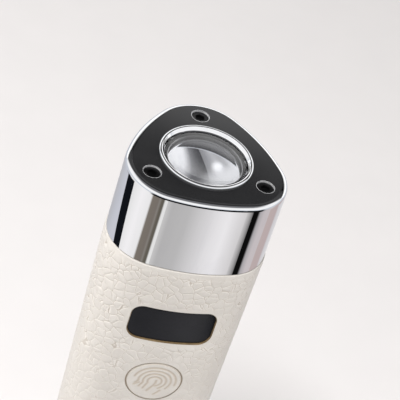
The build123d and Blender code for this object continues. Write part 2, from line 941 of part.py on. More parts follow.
with BuildPart() as motor_weight:
    with BuildSketch(Plane.XY.offset(motor_top + weight_gap)):
        Circle(weight_radius)
        with Locations((0, -weight_radius)):
            Rectangle(2 * weight_radius, 2 * weight_radius, mode=Mode.SUBTRACT)
        Circle(hub_radius)
        Circle(shaft_radius + 0.01, mode=Mode.SUBTRACT)
    extrude(amount=weight_height)
motor_weight.part.label = "motor_weight"

# ================= base and charging port =================

with BuildPart() as base_ring:
    extrude(outline(0, base_inset), amount=base_ring_height)
    fillet(base_ring.edges().group_by(Axis.Z)[0], rim_round)
    add(prism(base_ledge, base_ring_height, base_inset + collar_wall), mode=Mode.SUBTRACT)
    add(prism(plate_thickness, base_ledge, base_inset + ledge_inset), mode=Mode.SUBTRACT)
    add(prism(0, plate_thickness, base_inset + rim_width), mode=Mode.SUBTRACT)
base_ring.part.label = "base_ring"

base_face_up = (180, 0, 0)  # turns a screw so that its shank points up

with BuildPart() as base_plate:
    extrude(outline(0, base_inset + rim_width + slip), amount=plate_thickness)
    with BuildSketch(Plane.XY):
        SlotOverall(port_width + 2 * port_gap, port_thickness + 2 * port_gap)
    extrude(amount=plate_thickness, mode=Mode.SUBTRACT)
    with PolarLocations(base_screw_circle, 3, start_angle=90):
        with Locations(Location((0, 0, 0), base_face_up)):
            add(screw_seat(2 * plate_thickness, base_screw_sink), mode=Mode.SUBTRACT)
base_plate.part.label = "base_plate"

with BuildPart() as base_screws:
    with PolarLocations(base_screw_circle, 3, start_angle=90):
        with Locations(Location((0, 0, base_screw_sink), base_face_up)):
            add(socket_screw(base_screw_length))
base_screws.part.label = "base_screws"

with BuildPart() as base_inserts:
    with PolarLocations(base_screw_circle, 3, start_angle=90):
        with Locations(Location((0, 0, base_ledge + slip), base_face_up)):
            add(threaded_insert())
base_inserts.part.label = "base_inserts"

port_board_bottom = base_boss_top - board_thickness

with BuildPart() as charge_port:
    with BuildSketch(Plane.XY.offset(port_recess)):
        SlotOverall(port_width, port_thickness)
    extrude(amount=port_board_bottom - port_recess)
    with BuildSketch(Plane.XY.offset(port_recess)):
        SlotOverall(port_width - 2 * port_wall, port_thickness - 2 * port_wall)
    extrude(amount=port_board_bottom - port_recess - port_back, mode=Mode.SUBTRACT)
charge_port.part.label = "charge_port"

with BuildPart() as port_tongue:
    with BuildSketch(Plane.XY.offset(port_recess + tongue_recess)):
        Rectangle(tongue_width, tongue_thickness)
    extrude(amount=port_board_bottom - port_back - port_recess - tongue_recess)
port_tongue.part.label = "port_tongue"

with BuildPart() as port_board:
    with Locations((0, port_board_back, port_board_bottom)):
        Box(
            port_board_width,
            port_board_back + lead_reach + port_board_margin,
            board_thickness,
            align=(Align.CENTER, Align.MAX, Align.MIN),
        )
    with Locations((0, 0, port_board_bottom + board_thickness / 2)):
        with GridLocations(port_screw_pitch, 0, 2, 1):
            Cylinder(board_screw_radius + fit_gap, board_thickness, mode=Mode.SUBTRACT)
port_board.part.label = "port_board"

with BuildPart() as port_screws:
    with GridLocations(port_screw_pitch, 0, 2, 1):
        with Locations(Location((0, 0, port_board_bottom), base_face_up)):
            add(
                small_screw(
                    board_screw_radius,
                    board_screw_head,
                    board_screw_head_height,
                    board_screw_length,
                )
            )
port_screws.part.label = "port_screws"

# ================= wires =================

half_plug = connector_height / 2
over_cell = cell_plug - half_plug - 2.8
below_motor = motor_seat - bulkhead - 3.0
charge_route = [
    (-lead_reach, charge_plug - half_plug),
    (-lead_reach, base_boss_top),
]
battery_route = [
    (0, cell_top),
    (0, over_cell),
    (-lead_reach, over_cell),
    (-lead_reach, cell_plug - half_plug),
]
motor_route = [
    (0, motor_seat),
    (0, below_motor),
    (-lead_reach, below_motor),
    (-lead_reach, motor_plug + half_plug),
]
light_route = [
    (-light_lead_reach, neck_top),
    (-light_lead_reach, neck_top - 8.0),
    (-lead_reach, light_plug + half_plug + 6.0),
    (-lead_reach, light_plug + half_plug),
]
routes = {
    "charge": (charge_route, None),
    "battery": (battery_route, lead_bend),
    "motor": (motor_route, lead_bend),
    "light": (light_route, light_lead_bend),
}
leads = []
for use, (route, bends) in routes.items():
    for colour, side in (("red", -1), ("black", 1)):
        piece = lead([(side * lead_spacing / 2, y, z) for y, z in route], bends)
        piece.label = f"{use}_lead_{colour}"
        leads.append(piece)

# ================= export =================

os.makedirs("parts", exist_ok=True)
built = (
    head_collar,
    face_plate,
    face_screws,
    lens_bezel,
    lens,
    lens_gasket,
    reflector,
    led_board,
    led_emitters,
    heat_spreader,
    optic_screws,
    head_core,
    head_seal,
    neck_inserts,
    handle_shell,
    leather_sleeve,
    display_window,
    display_gasket,
    display_module,
    power_button,
    switch_body,
    switch_plunger,
    main_board,
    board_chips,
    board_connectors,
    board_screws,
    inner_frame,
    battery_cell,
    cell_pads,
    motor_can,
    motor_shaft,
    motor_weight,
    base_ring,
    base_plate,
    base_screws,
    base_inserts,
    base_seal,
    charge_port,
    port_tongue,
    port_board,
    port_screws,
)
for piece in built:
    export_step(piece.part, f"parts/{piece.part.label}.step")
for piece in leads:
    export_step(piece, f"parts/{piece.label}.step")
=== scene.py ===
import json
import math

import bmesh
import bpy
import numpy as np
from mathutils import Matrix, Vector


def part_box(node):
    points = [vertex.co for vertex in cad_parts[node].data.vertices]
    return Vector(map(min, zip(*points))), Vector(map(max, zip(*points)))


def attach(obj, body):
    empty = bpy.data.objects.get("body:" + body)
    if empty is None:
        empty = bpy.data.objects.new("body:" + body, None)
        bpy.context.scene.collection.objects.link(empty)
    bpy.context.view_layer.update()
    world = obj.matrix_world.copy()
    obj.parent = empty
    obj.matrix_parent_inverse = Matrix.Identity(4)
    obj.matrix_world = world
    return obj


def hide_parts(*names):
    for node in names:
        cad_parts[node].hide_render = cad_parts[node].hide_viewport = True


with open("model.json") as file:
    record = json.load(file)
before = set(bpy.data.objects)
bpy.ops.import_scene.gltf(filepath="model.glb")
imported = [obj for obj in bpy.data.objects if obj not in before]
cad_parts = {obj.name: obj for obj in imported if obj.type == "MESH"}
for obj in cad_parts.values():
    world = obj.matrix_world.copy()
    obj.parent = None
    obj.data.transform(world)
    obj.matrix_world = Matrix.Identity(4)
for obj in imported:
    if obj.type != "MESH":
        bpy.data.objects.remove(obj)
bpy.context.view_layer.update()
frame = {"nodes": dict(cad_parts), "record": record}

nodes = frame["nodes"]
mm = 0.001
print("frame loaded:", len(nodes), "nodes")

# places come from the frame's boxes
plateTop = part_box("face_plate")[1].z
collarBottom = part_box("head_collar")[0].z
sleeveLow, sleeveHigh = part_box("leather_sleeve")
windowLow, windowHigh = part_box("display_window")
buttonLow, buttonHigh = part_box("power_button")


def deselectAll():
    if bpy.context.object and bpy.context.object.mode != "OBJECT":
        bpy.ops.object.mode_set(mode="OBJECT")
    bpy.ops.object.select_all(action="DESELECT")


def makeActive(piece):
    deselectAll()
    piece.select_set(True)
    bpy.context.view_layer.objects.active = piece


def applyModifier(piece, kind, **values):
    makeActive(piece)
    modifier = piece.modifiers.new(kind.title(), kind)
    for name, value in values.items():
        setattr(modifier, name, value)
    bpy.ops.object.modifier_apply(modifier=modifier.name)


def editAll(piece):
    makeActive(piece)
    bpy.ops.object.mode_set(mode="EDIT")
    bpy.ops.mesh.select_all(action="SELECT")


def closeEdit():
    # faces outward, then back to object mode
    bpy.ops.mesh.select_all(action="SELECT")
    bpy.ops.mesh.normals_make_consistent(inside=False)
    bpy.ops.object.mode_set(mode="OBJECT")


def smooth(piece, degrees=30):
    makeActive(piece)
    bpy.ops.object.shade_smooth_by_angle(angle=math.radians(degrees))


def finishPiece(piece, name, body, material, replaced=()):
    piece.name = name
    piece.data.name = name
    piece.data.materials.clear()
    piece.data.materials.append(material)
    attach(piece, body)
    if replaced:
        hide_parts(*replaced)


def newGroup(name, inputs, outputs):
    group = bpy.data.node_groups.new(name, "ShaderNodeTree")
    for label, kind, value in inputs:
        socket = group.interface.new_socket(label, in_out="INPUT", socket_type=kind)
        if value is not None:
            socket.default_value = value
    for label, kind in outputs:
        group.interface.new_socket(label, in_out="OUTPUT", socket_type=kind)
    return group, group.nodes.new("NodeGroupInput"), group.nodes.new("NodeGroupOutput")


def fillSockets(tree, node, sources):
    # links what is a socket and sets what is a value
    for socket, source in sources.items():
        target = node.inputs[socket]
        if isinstance(source, bpy.types.NodeSocket):
            tree.links.new(source, target)
        elif target.type == "RGBA":
            target.default_value = (*source, 1)
        else:
            target.default_value = source


def addNode(tree, kind, sources=None, **values):
    node = tree.nodes.new(kind)
    for name, value in values.items():
        setattr(node, name, value)
    fillSockets(tree, node, sources or {})
    return node


def mathNode(tree, operation, first, second=0.0, third=0.0):
    return addNode(tree, "ShaderNodeMath", {0: first, 1: second, 2: third}, operation=operation).outputs[0]


def product(tree, first, second):
    return mathNode(tree, "MULTIPLY", first, second)


def vectorNode(tree, operation, first, second):
    socket = "Scale" if operation == "SCALE" else 1
    return addNode(tree, "ShaderNodeVectorMath", {0: first, socket: second}, operation=operation).outputs


def mapRange(tree, value, low, high, toLow, toHigh, kind="SMOOTHSTEP"):
    sources = {"Value": value, "From Min": low, "From Max": high, "To Min": toLow, "To Max": toHigh}
    return addNode(tree, "ShaderNodeMapRange", sources, interpolation_type=kind).outputs["Result"]


def rising(tree, value, span, top=1.0):
    return mapRange(tree, value, *span, 0.0, top)


def falling(tree, value, span):
    return mapRange(tree, value, *span, 1.0, 0.0)


def straight(tree, value, ends):
    # a value of 0 to 1 turned into the span between two ends, such as two roughnesses
    return mapRange(tree, value, 0.0, 1.0, *ends, "LINEAR")


def mixColours(tree, factor, first, second):
    return addNode(tree, "ShaderNodeMix", {0: factor, 6: first, 7: second}, data_type="RGBA").outputs[2]


def attributeValue(tree, name):
    return addNode(tree, "ShaderNodeAttribute", attribute_name=name).outputs["Fac"]


def heightOf(tree, vector):
    return addNode(tree, "ShaderNodeSeparateXYZ", {"Vector": vector}).outputs["Z"]


def noiseValue(tree, vector, scale, detail, roughness, distortion=0.0):
    sources = {"Vector": vector, "Scale": scale, "Detail": detail, "Roughness": roughness,
               "Distortion": distortion}
    return addNode(tree, "ShaderNodeTexNoise", sources).outputs["Fac"]


def cellNode(tree, vector, scale, randomness=1.0, feature="DISTANCE_TO_EDGE"):
    sources = {"Vector": vector, "Scale": scale, "Randomness": randomness}
    return addNode(tree, "ShaderNodeTexVoronoi", sources, feature=feature).outputs


def buildMottle():
    # slow tone changes with fine grain on top, for any moulded, painted or metal surface
    group, start, end = newGroup(
        "mottle",
        [("Vector", "NodeSocketVector", None), ("Patch Scale", "NodeSocketFloat", 60.0),
         ("Grain Scale", "NodeSocketFloat", 2500.0)],
        [("Tone", "NodeSocketFloat"), ("Grain", "NodeSocketFloat")],
    )
    patches = noiseValue(group, start.outputs["Vector"], start.outputs["Patch Scale"], 4.0, 0.55, 0.4)
    grain = noiseValue(group, start.outputs["Vector"], start.outputs["Grain Scale"], 2.0, 0.6)
    tone = mathNode(group, "MULTIPLY_ADD", grain, 0.3, product(group, patches, 0.7))
    fillSockets(group, end, {"Tone": rising(group, tone, (0.3, 0.7)), "Grain": grain})
    return group


def buildHandling():
    # faint smears and pin scratches left by cleaning and handling, for polished surfaces
    group, start, end = newGroup(
        "handling",
        [("Vector", "NodeSocketVector", None), ("Scale", "NodeSocketFloat", 90.0)],
        [("Smear", "NodeSocketFloat"), ("Scratch", "NodeSocketFloat")],
    )
    stretched = vectorNode(group, "MULTIPLY", start.outputs["Vector"], (1.0, 1.0, 0.35))[0]
    smear = noiseValue(group, stretched, start.outputs["Scale"], 5.0, 0.6, 1.2)
    scratch = falling(group, cellNode(group, stretched, 900.0)["Distance"], (0.0, 0.02))
    scratch = product(group, scratch, rising(group, smear, (0.55, 0.7)))
    fillSockets(group, end, {"Smear": rising(group, smear, (0.42, 0.75)), "Scratch": scratch})
    return group


pebbleGrain = {
    "wobbleScale": 240.0, "wobble": 0.0015,  # how far the cells' outlines wander, in metres
    "randomness": 0.95,
    "smallerBy": 2.2, "smallShare": 0.14,  # fine cells pressed into the large ones
    "slope": 0.13, "meshSlope": 0.2, "smallSlope": 0.10,  # from a crease up to a cell's top
    "creaseShadeSpan": (0.0, 0.045), "paintedHighlightSpan": (0.02, 0.10),
    "poreScale": 2600.0, "poreSpan": (0.0, 0.32),
}


def pebbleHeight(tree, vector, scale, slope):
    # the same nodes shape the mesh and shade it, so that creases and shading fall together
    grain = pebbleGrain
    noise = {"Vector": vector, "Scale": grain["wobbleScale"], "Detail": 2.0}
    wobble = addNode(tree, "ShaderNodeTexNoise", noise).outputs["Color"]
    push = vectorNode(tree, "SUBTRACT", wobble, (0.5, 0.5, 0.5))[0]
    warped = vectorNode(tree, "ADD", vector, vectorNode(tree, "SCALE", push, grain["wobble"])[0])[0]
    large = cellNode(tree, warped, scale, grain["randomness"])["Distance"]
    small = cellNode(tree, warped, product(tree, scale, grain["smallerBy"]))["Distance"]
    largeHeight = product(tree, rising(tree, large, (0.0, slope)), 1 - grain["smallShare"])
    smallHeight = rising(tree, small, (0.0, grain["smallSlope"]))
    height = mathNode(tree, "MULTIPLY_ADD", smallHeight, grain["smallShare"], largeHeight)
    return height, large, warped


def buildPebble():
    # leather: rounded cells of two sizes with creases between them, and pores
    group, start, end = newGroup(
        "pebble",
        [("Vector", "NodeSocketVector", None), ("Cell Scale", "NodeSocketFloat", 330.0)],
        [("Height", "NodeSocketFloat"), ("Crease Shade", "NodeSocketFloat"), ("Painted Highlight", "NodeSocketFloat"),
         ("Tone", "NodeSocketFloat"), ("Pore", "NodeSocketFloat")],
    )
    vector, scale = start.outputs["Vector"], start.outputs["Cell Scale"]
    height, large, warped = pebbleHeight(group, vector, scale, pebbleGrain["slope"])
    cells = cellNode(group, warped, scale, pebbleGrain["randomness"], "F1")
    pore = cellNode(group, vector, pebbleGrain["poreScale"], feature="F1")["Distance"]
    fillSockets(group, end, {
        "Height": height,
        "Crease Shade": falling(group, large, pebbleGrain["creaseShadeSpan"]),
        "Painted Highlight": falling(group, large, pebbleGrain["paintedHighlightSpan"]),
        "Tone": addNode(group, "ShaderNodeSeparateColor", {"Color": cells["Color"]}).outputs["Red"],
        "Pore": falling(group, pore, pebbleGrain["poreSpan"]),
    })
    return group


mottle = buildMottle()
handling = buildHandling()
pebble = buildPebble()
print("shared node groups built")


def startMaterial(name):
    material = bpy.data.materials.new(name)
    material.use_nodes = True
    tree = material.node_tree
    shader = tree.nodes["Principled BSDF"]
    coordinates = tree.nodes.new("ShaderNodeTexCoord").outputs["Object"]
    return material, tree, shader, coordinates


def useGroup(tree, group, vector, **values):
    sources = {label.replace("_", " "): value for label, value in values.items()}
    node = addNode(tree, "ShaderNodeGroup", node_tree=group)
    fillSockets(tree, node, {"Vector": vector, **sources})
    return node.outputs


def addBump(tree, shader, height, distance, strength=1.0, under=None):
    sources = {"Height": height, "Distance": distance, "Strength": strength}
    if under is not None:
        sources["Normal"] = under
    normal = addNode(tree, "ShaderNodeBump", sources).outputs["Normal"]
    fillSockets(tree, shader, {"Normal": normal})
    return normal


scratchDepth = 0.0004 * mm


def grainedFinish(name, light, dark, rough, metallic=0.0, patchScale=60.0, grainScale=2500.0, bump=0.02,
                  coat=0.0, specular=0.5):
    # moulded, painted and bare metal surfaces: two tones, uneven gloss and a fine grain
    material, tree, shader, vector = startMaterial(name)
    mottled = useGroup(tree, mottle, vector, Patch_Scale=patchScale, Grain_Scale=grainScale)
    fillSockets(tree, shader, {
        "Base Color": mixColours(tree, mottled["Tone"], dark, light),
        "Roughness": straight(tree, mottled["Tone"], rough),
        "Metallic": metallic, "Coat Weight": coat, "Specular IOR Level": specular,
    })
    addBump(tree, shader, mottled["Grain"], bump * mm)
    return material


def polishedFinish(name, light, dark, rough, smearScale=90.0):
    # chrome: nearly clean mirror with faint smears
    material, tree, shader, vector = startMaterial(name)
    marks = useGroup(tree, handling, vector, Scale=smearScale)
    worn = mathNode(tree, "MAXIMUM", marks["Smear"], marks["Scratch"])
    fillSockets(tree, shader, {"Base Color": mixColours(tree, marks["Smear"], light, dark),
                               "Roughness": straight(tree, worn, rough), "Metallic": 1.0})
    addBump(tree, shader, marks["Scratch"], scratchDepth, 0.3)
    return material


def brushedFinish(name, light, dark, rough, along=(1.0, 1.0, 0.02)):
    # bare turned or brushed metal: fine lines that run along one axis
    material, tree, shader, vector = startMaterial(name)
    lines = noiseValue(tree, vectorNode(tree, "MULTIPLY", vector, along)[0], 6000.0, 3.0, 0.7)
    fillSockets(tree, shader, {"Base Color": mixColours(tree, lines, dark, light), "Metallic": 1.0,
                               "Roughness": mapRange(tree, lines, 0.2, 0.8, *rough, "LINEAR")})
    addBump(tree, shader, lines, 0.004 * mm, 0.5)
    return material


leatherLook = {
    "light": (0.635, 0.605, 0.565), "dark": (0.55, 0.52, 0.48),
    "paintedHighlight": (0.86, 0.83, 0.79), "paintedHighlightShare": 0.5,  # painted highlight on the edge of each cell
    # painted shade: the dark colour laid into the creases between cells
    "crease": (0.36, 0.31, 0.255), "creaseShadeShare": 0.85,
    "pressedShade": (0.42, 0.345, 0.265), "pressedShadeShare": 0.75,  # painted shade in the button's pressed mark and along its falling edge
    "cellScale": 430.0, "patchScale": 45.0, "grainScale": 1800.0,
    "relief": 0.075 * mm,  # real relief of the cells
    "bump": 0.09 * mm, "poreBump": 0.010 * mm,
    "roughness": (0.6, 0.42),  # in a crease, and on a cell's top
    "sheen": 0.06, "sheenRoughness": 0.5, "specular": 0.4,
}


def leatherFinish(name, share="mask", pressedShade=False):
    # share is how much of the grain shows: a number, or "mask" for the piece's own attribute
    look = leatherLook
    material, tree, shader, vector = startMaterial(name)
    grain = useGroup(tree, pebble, vector, Cell_Scale=look["cellScale"])
    mottled = useGroup(tree, mottle, vector, Patch_Scale=look["patchScale"], Grain_Scale=look["grainScale"])
    if share == "mask":
        share = attributeValue(tree, "grainMask")
    tone = mathNode(tree, "MULTIPLY_ADD", grain["Tone"], 0.3, product(tree, mottled["Tone"], 0.6))
    colour = mixColours(tree, tone, look["dark"], look["light"])
    # the pale edge of each cell is a painted highlight, and the dark crease colour is painted shade
    for mark, tint, amount in (("Painted Highlight", "paintedHighlight", "paintedHighlightShare"), ("Crease Shade", "crease", "creaseShadeShare")):
        shown = product(tree, product(tree, grain[mark], look[amount]), share)
        colour = mixColours(tree, shown, colour, look[tint])
    # painted shade: darker colour in the pressed mark and along the skin's falling edge
    if pressedShade:
        pressedShadeAmount = product(tree, attributeValue(tree, "pressedShade"), look["pressedShadeShare"])
        colour = mixColours(tree, pressedShadeAmount, colour, look["pressedShade"])
    fillSockets(tree, shader, {
        "Base Color": colour, "Roughness": straight(tree, grain["Height"], look["roughness"]),
        "Sheen Weight": look["sheen"], "Sheen Roughness": look["sheenRoughness"],
        "Specular IOR Level": look["specular"],
    })
    fine = mathNode(tree, "MULTIPLY_ADD", mottled["Grain"], 0.35, grain["Pore"])
    under = addBump(tree, shader, fine, look["poreBump"], 0.7)
    addBump(tree, shader, product(tree, grain["Height"], share), look["bump"], 1.0, under)
    return material


optics = {
    "lensRadius": 10.35 * mm, "lensBase": 153.42 * mm, "rimHeight": 156.05 * mm, "apex": 157.43 * mm,
    "domeReach": 10.05 * mm, "lensEdge": 0.3 * mm,
    "reflectorRadius": 9.18 * mm, "reflectorTop": 153.3 * mm, "mouth": 8.95 * mm, "reflectorFloor": 0.4 * mm,
    "dishRadius": 8.3 * mm, "dishLow": 150.75 * mm, "wallFoot": 151.75 * mm, "footRound": 0.5 * mm,
    "turns": 144,
}
bowlLook = {
    "mirror": ((0.93, 0.93, 0.95), (0.86, 0.86, 0.89)), "wall": ((0.16, 0.16, 0.165), (0.42, 0.42, 0.43)),
    "rough": (0.035, 0.07), "wallRough": 0.26,
    "wallFade": (optics["wallFoot"] + 0.1 * mm, optics["wallFoot"] + 0.35 * mm),
    "wallShadeSpan": (optics["wallFoot"] + 0.25 * mm, optics["reflectorTop"]),
}


def reflectorFinish(name):
    # mirror floor, and a dark satin wall from the foot of the wall up, with painted shade darker towards the
    # wall's foot
    look = bowlLook
    material, tree, shader, vector = startMaterial(name)
    marks = useGroup(tree, handling, vector, Scale=200.0)
    height = heightOf(tree, vector)
    wall = rising(tree, height, look["wallFade"])
    dishTone = mixColours(tree, marks["Smear"], *look["mirror"])
    # painted shade: the wall's tone rises from dark at the foot to lighter at the top
    wallShadedTone = mixColours(tree, rising(tree, height, look["wallShadeSpan"]), *look["wall"])
    rough = straight(tree, marks["Smear"], look["rough"])
    rough = mathNode(tree, "MULTIPLY_ADD", wall, look["wallRough"], rough)
    fillSockets(tree, shader, {"Base Color": mixColours(tree, wall, dishTone, wallShadedTone), "Roughness": rough,
                               "Metallic": 1.0})
    addBump(tree, shader, marks["Scratch"], scratchDepth, 0.3)
    return material


def glassFinish(name, tint, rough, ior):
    material, tree, shader, vector = startMaterial(name)
    marks = useGroup(tree, handling, vector, Scale=140.0)
    smeared = [0.97 * c for c in tint]
    fillSockets(tree, shader, {"Base Color": mixColours(tree, marks["Smear"], tint, smeared), "IOR": ior,
                               "Roughness": straight(tree, marks["Smear"], rough), "Transmission Weight": 1.0})
    return material


chrome = polishedFinish("polished chrome", (0.95, 0.955, 0.965), (0.90, 0.905, 0.92), (0.012, 0.05))
bezelChrome = polishedFinish("bezel chrome", (0.96, 0.965, 0.975), (0.91, 0.915, 0.93), (0.015, 0.05), 160.0)
mirrorFinish = polishedFinish("vapour coated mirror", (0.93, 0.935, 0.95), (0.88, 0.885, 0.9), (0.02, 0.06),
                              200.0)
bowlFinish = reflectorFinish("reflector dish and wall")
plateBlack = grainedFinish("satin black plate", (0.017, 0.017, 0.018), (0.011, 0.011, 0.012), (0.20, 0.25),
                           grainScale=5200.0, bump=0.004, specular=0.55)
screwBlack = grainedFinish("black oxide steel", (0.02, 0.02, 0.021), (0.008, 0.008, 0.009), (0.16, 0.26),
                           metallic=0.7, grainScale=4000.0, bump=0.006)
ivoryLeather = leatherFinish("ivory pebbled leather")
smoothLeather = leatherFinish("ivory smooth leather", 0.12)
buttonLeather = leatherFinish("ivory button leather", 0.25, pressedShade=True)
cutEdge = grainedFinish("burnished cut edge", (0.215, 0.15, 0.075), (0.12, 0.08, 0.038), (0.35, 0.55),
                        patchScale=500.0, grainScale=4200.0, bump=0.02)
# the groove's floor is given a darker beige than the leather, as painted shade
grooveShadeBeige = grainedFinish("groove beige painted shade", (0.42, 0.35, 0.275), (0.33, 0.27, 0.205), (0.55, 0.7), bump=0.02)
holeLiner = grainedFinish("bright turned rim", (0.85, 0.85, 0.86), (0.66, 0.66, 0.68), (0.24, 0.36),
                          metallic=0.45, patchScale=400.0, grainScale=5200.0, bump=0.003)
lensGlass = glassFinish("lens glass", (0.985, 0.99, 1.0), (0.0, 0.012), 1.49)
windowGlass = grainedFinish("smoked display glass", (0.0125, 0.013, 0.016), (0.0085, 0.009, 0.0115),
                            (0.10, 0.18), patchScale=110.0, bump=0.0005, specular=0.22)

# finishes of the inner pieces: name, light tone, dark tone and roughness, then what differs from the usual
innerGrained = {
    "ivory_plastic": ("ivory moulded shell", (0.62, 0.56, 0.49), (0.55, 0.49, 0.42), (0.4, 0.55), {}),
    "dark_plastic": ("dark moulded plastic", (0.05, 0.05, 0.055), (0.03, 0.03, 0.034), (0.4, 0.55), {}),
    "frame_plastic": ("grey moulded frame", (0.66, 0.66, 0.64), (0.58, 0.58, 0.56), (0.4, 0.55), {}),
    "black_rubber": ("seal rubber", (0.03, 0.03, 0.03), (0.016, 0.016, 0.017), (0.6, 0.8), {"bump": 0.03}),
    "foam": ("foam pad", (0.15, 0.15, 0.16), (0.08, 0.08, 0.09), (0.85, 0.95),
             {"grainScale": 1400.0, "bump": 0.2}),
    "circuit_board": ("solder mask", (0.03, 0.19, 0.09), (0.015, 0.12, 0.06), (0.25, 0.4), {"coat": 0.3}),
    "chip_black": ("chip epoxy", (0.035, 0.035, 0.037), (0.02, 0.02, 0.022), (0.5, 0.65), {"bump": 0.01}),
    "plug_white": ("plug nylon", (0.84, 0.82, 0.75), (0.74, 0.71, 0.63), (0.35, 0.5), {}),
    "cell_wrap": ("cell wrap", (0.07, 0.26, 0.5), (0.04, 0.18, 0.38), (0.2, 0.32), {"bump": 0.01, "coat": 0.4}),
    "led_yellow": ("phosphor", (0.88, 0.78, 0.3), (0.75, 0.62, 0.2), (0.25, 0.4), {}),
    "red_wire": ("red insulation", (0.6, 0.04, 0.035), (0.45, 0.02, 0.02), (0.3, 0.45), {}),
    "black_wire": ("black insulation", (0.03, 0.03, 0.03), (0.015, 0.015, 0.015), (0.3, 0.45), {}),
}
innerBrushed = {
    "steel": ("brushed steel", (0.68, 0.68, 0.68), (0.5, 0.5, 0.51), (0.22, 0.4)),
    "brass": ("turned brass", (0.86, 0.66, 0.33), (0.66, 0.47, 0.2), (0.2, 0.38), (0.05, 0.05, 1.0)),
    "aluminium": ("machined aluminium", (0.8, 0.81, 0.82), (0.62, 0.63, 0.65), (0.25, 0.42), (0.05, 1.0, 1.0)),
}
slotLooks = {
    "polished_chrome": chrome, "satin_black": plateBlack, "black_steel": screwBlack, "clear_glass": lensGlass,
    "reflector_mirror": mirrorFinish, "ivory_leather": ivoryLeather, "dark_glass": windowGlass,
}
for slot, (*values, others) in innerGrained.items():
    slotLooks[slot] = grainedFinish(*values, **others)
for slot, values in innerBrushed.items():
    slotLooks[slot] = brushedFinish(*values)
slotLooks["display_cell"] = slotLooks["chip_black"]
for part in frame["record"]["subparts"]:
    owner = nodes[part["node"]]
    for place in owner.material_slots:
        place.material = slotLooks[part["material_slot"]]
nodes["lens_bezel"].material_slots[0].material = bezelChrome
print("materials on all CAD nodes")


studio = {
    "floorTone": (0.80, 0.775, 0.77),
    "backdrop": (0.86, 0.85, 0.85),
    "ambient": 0.32,
    # what polished metal sees round the horizon: degrees from +X, and the tone from there
    "ring": [
        (0, (0.52, 0.43, 0.42)), (26, (0.50, 0.41, 0.41)), (31, (0.62, 0.60, 0.62)), (60, (0.72, 0.71, 0.72)),
        (100, (0.50, 0.50, 0.53)), (124, (0.54, 0.55, 0.60)), (142, (0.58, 0.59, 0.65)),
        (159, (0.58, 0.59, 0.65)), (163, (0.80, 0.79, 0.79)), (177, (0.82, 0.81, 0.81)),
        (198, (0.92, 0.90, 0.91)), (221, (0.84, 0.83, 0.83)), (225, (0.20, 0.175, 0.15)),
        (238, (0.19, 0.165, 0.145)), (242, (0.24, 0.22, 0.20)), (246, (0.13, 0.115, 0.095)),
        (251, (0.12, 0.11, 0.09)), (253, (0.82, 0.81, 0.80)), (258, (0.78, 0.77, 0.76)),
        (263, (0.47, 0.46, 0.46)), (274, (0.50, 0.49, 0.49)), (291, (0.77, 0.75, 0.76)),
        (300, (0.86, 0.84, 0.85)), (311, (0.66, 0.64, 0.64)), (314, (0.003, 0.003, 0.003)),
        (328, (0.005, 0.005, 0.005)), (333, (0.42, 0.40, 0.41)), (345, (0.58, 0.53, 0.54)),
    ],
    # over the ring: the height in degrees where each tone comes in, from the ring up
    "foot": ((-16.0, -8.0), (0.58, 0.62, 0.68)),
    "wall": ((2.0, 14.0), (0.95, 0.95, 0.96)),
    "ceiling": ((40.0, 62.0), (0.16, 0.16, 0.17)),
    # a dark strip in front, and a dark wall behind: middle in degrees, half width in turns, heights and tone
    "strip": {"middle": 278, "spread": (0.13, 0.16), "low": (-35.0, -32.5), "high": (-3.0, 1.0),
              "tone": (0.004, 0.004, 0.005)},
    "behind": {"middle": 73, "spread": (0.12, 0.17), "low": (16.0, 22.0), "share": 0.96,
               "tone": (0.02, 0.02, 0.021)},
    "lights": {
        "keyLeft": ((-0.92, 0.16, 0.36), (0.4, 0.4), 5.6, (1.0, 0.99, 0.97)),
        "topFront": ((-0.30, -0.32, 1.05), (0.3, 0.3), 9.6, (1.0, 1.0, 1.0)),
        "fillRight": ((0.75, -0.60, 0.40), (0.6, 0.5), 4.6, (1.0, 1.0, 1.0)),
    },
}

# what is seen by way of the lens and its reflector: places are (across, along) from the sky's direction
lensView = {
    "acrossAxis": (0.944, 0.331, 0.0), "alongAxis": (-0.331, 0.944, 0.0),
    "crease": 0.380,  # across, at the middle of the tones below
    "spot": (0.229, 0.631), "spotSpan": (0.02, 0.12), "spotTone": (1.3, 1.3, 1.3),
    "lowSpan": (0.60, 0.77), "lowTone": (1.0, 1.0, 1.0),
    "arch": (0.707, 0.976), "archSpan": (0.796, 0.802), "archTones": ((0.05, 0.05, 0.054), (0.16, 0.16, 0.165)),
    "archFade": (0.80, 0.98), "archLine": 0.793, "lineSpan": (0.003, 0.009), "lineTone": (0.80, 0.82, 0.86),
    "tones": [
        (0, (1.0, 1.0, 1.0)), (50, (0.85, 0.85, 0.86)), (75, (0.60, 0.60, 0.61)), (97, (0.55, 0.55, 0.56)),
        (125, (0.66, 0.66, 0.67)), (150, (0.48, 0.48, 0.49)), (165, (0.38, 0.38, 0.39)),
        (179.3, (0.33, 0.33, 0.34)), (180.7, (0.075, 0.075, 0.08)), (196, (0.10, 0.10, 0.105)),
        (212, (0.15, 0.15, 0.155)), (234, (0.27, 0.27, 0.28)), (250, (0.68, 0.68, 0.69)),
        (266, (1.1, 1.1, 1.1)), (359, (1.2, 1.2, 1.2)),
    ],
}


def fillRamp(ramp, stops):
    while len(ramp.elements) > 1:
        ramp.elements.remove(ramp.elements[-1])
    for index, (degrees, tone) in enumerate(stops):
        element = ramp.elements[0] if index == 0 else ramp.elements.new(degrees / 360)
        element.position = degrees / 360
        element.color = (*tone, 1)


def distanceNode(tree, first, second, centre):
    gaps = [mathNode(tree, "POWER", mathNode(tree, "SUBTRACT", value, middle), 2.0)
            for value, middle in zip((first, second), centre)]
    return mathNode(tree, "SQRT", mathNode(tree, "ADD", *gaps))


def gapNode(tree, value, middle):
    return mathNode(tree, "ABSOLUTE", mathNode(tree, "SUBTRACT", value, middle))


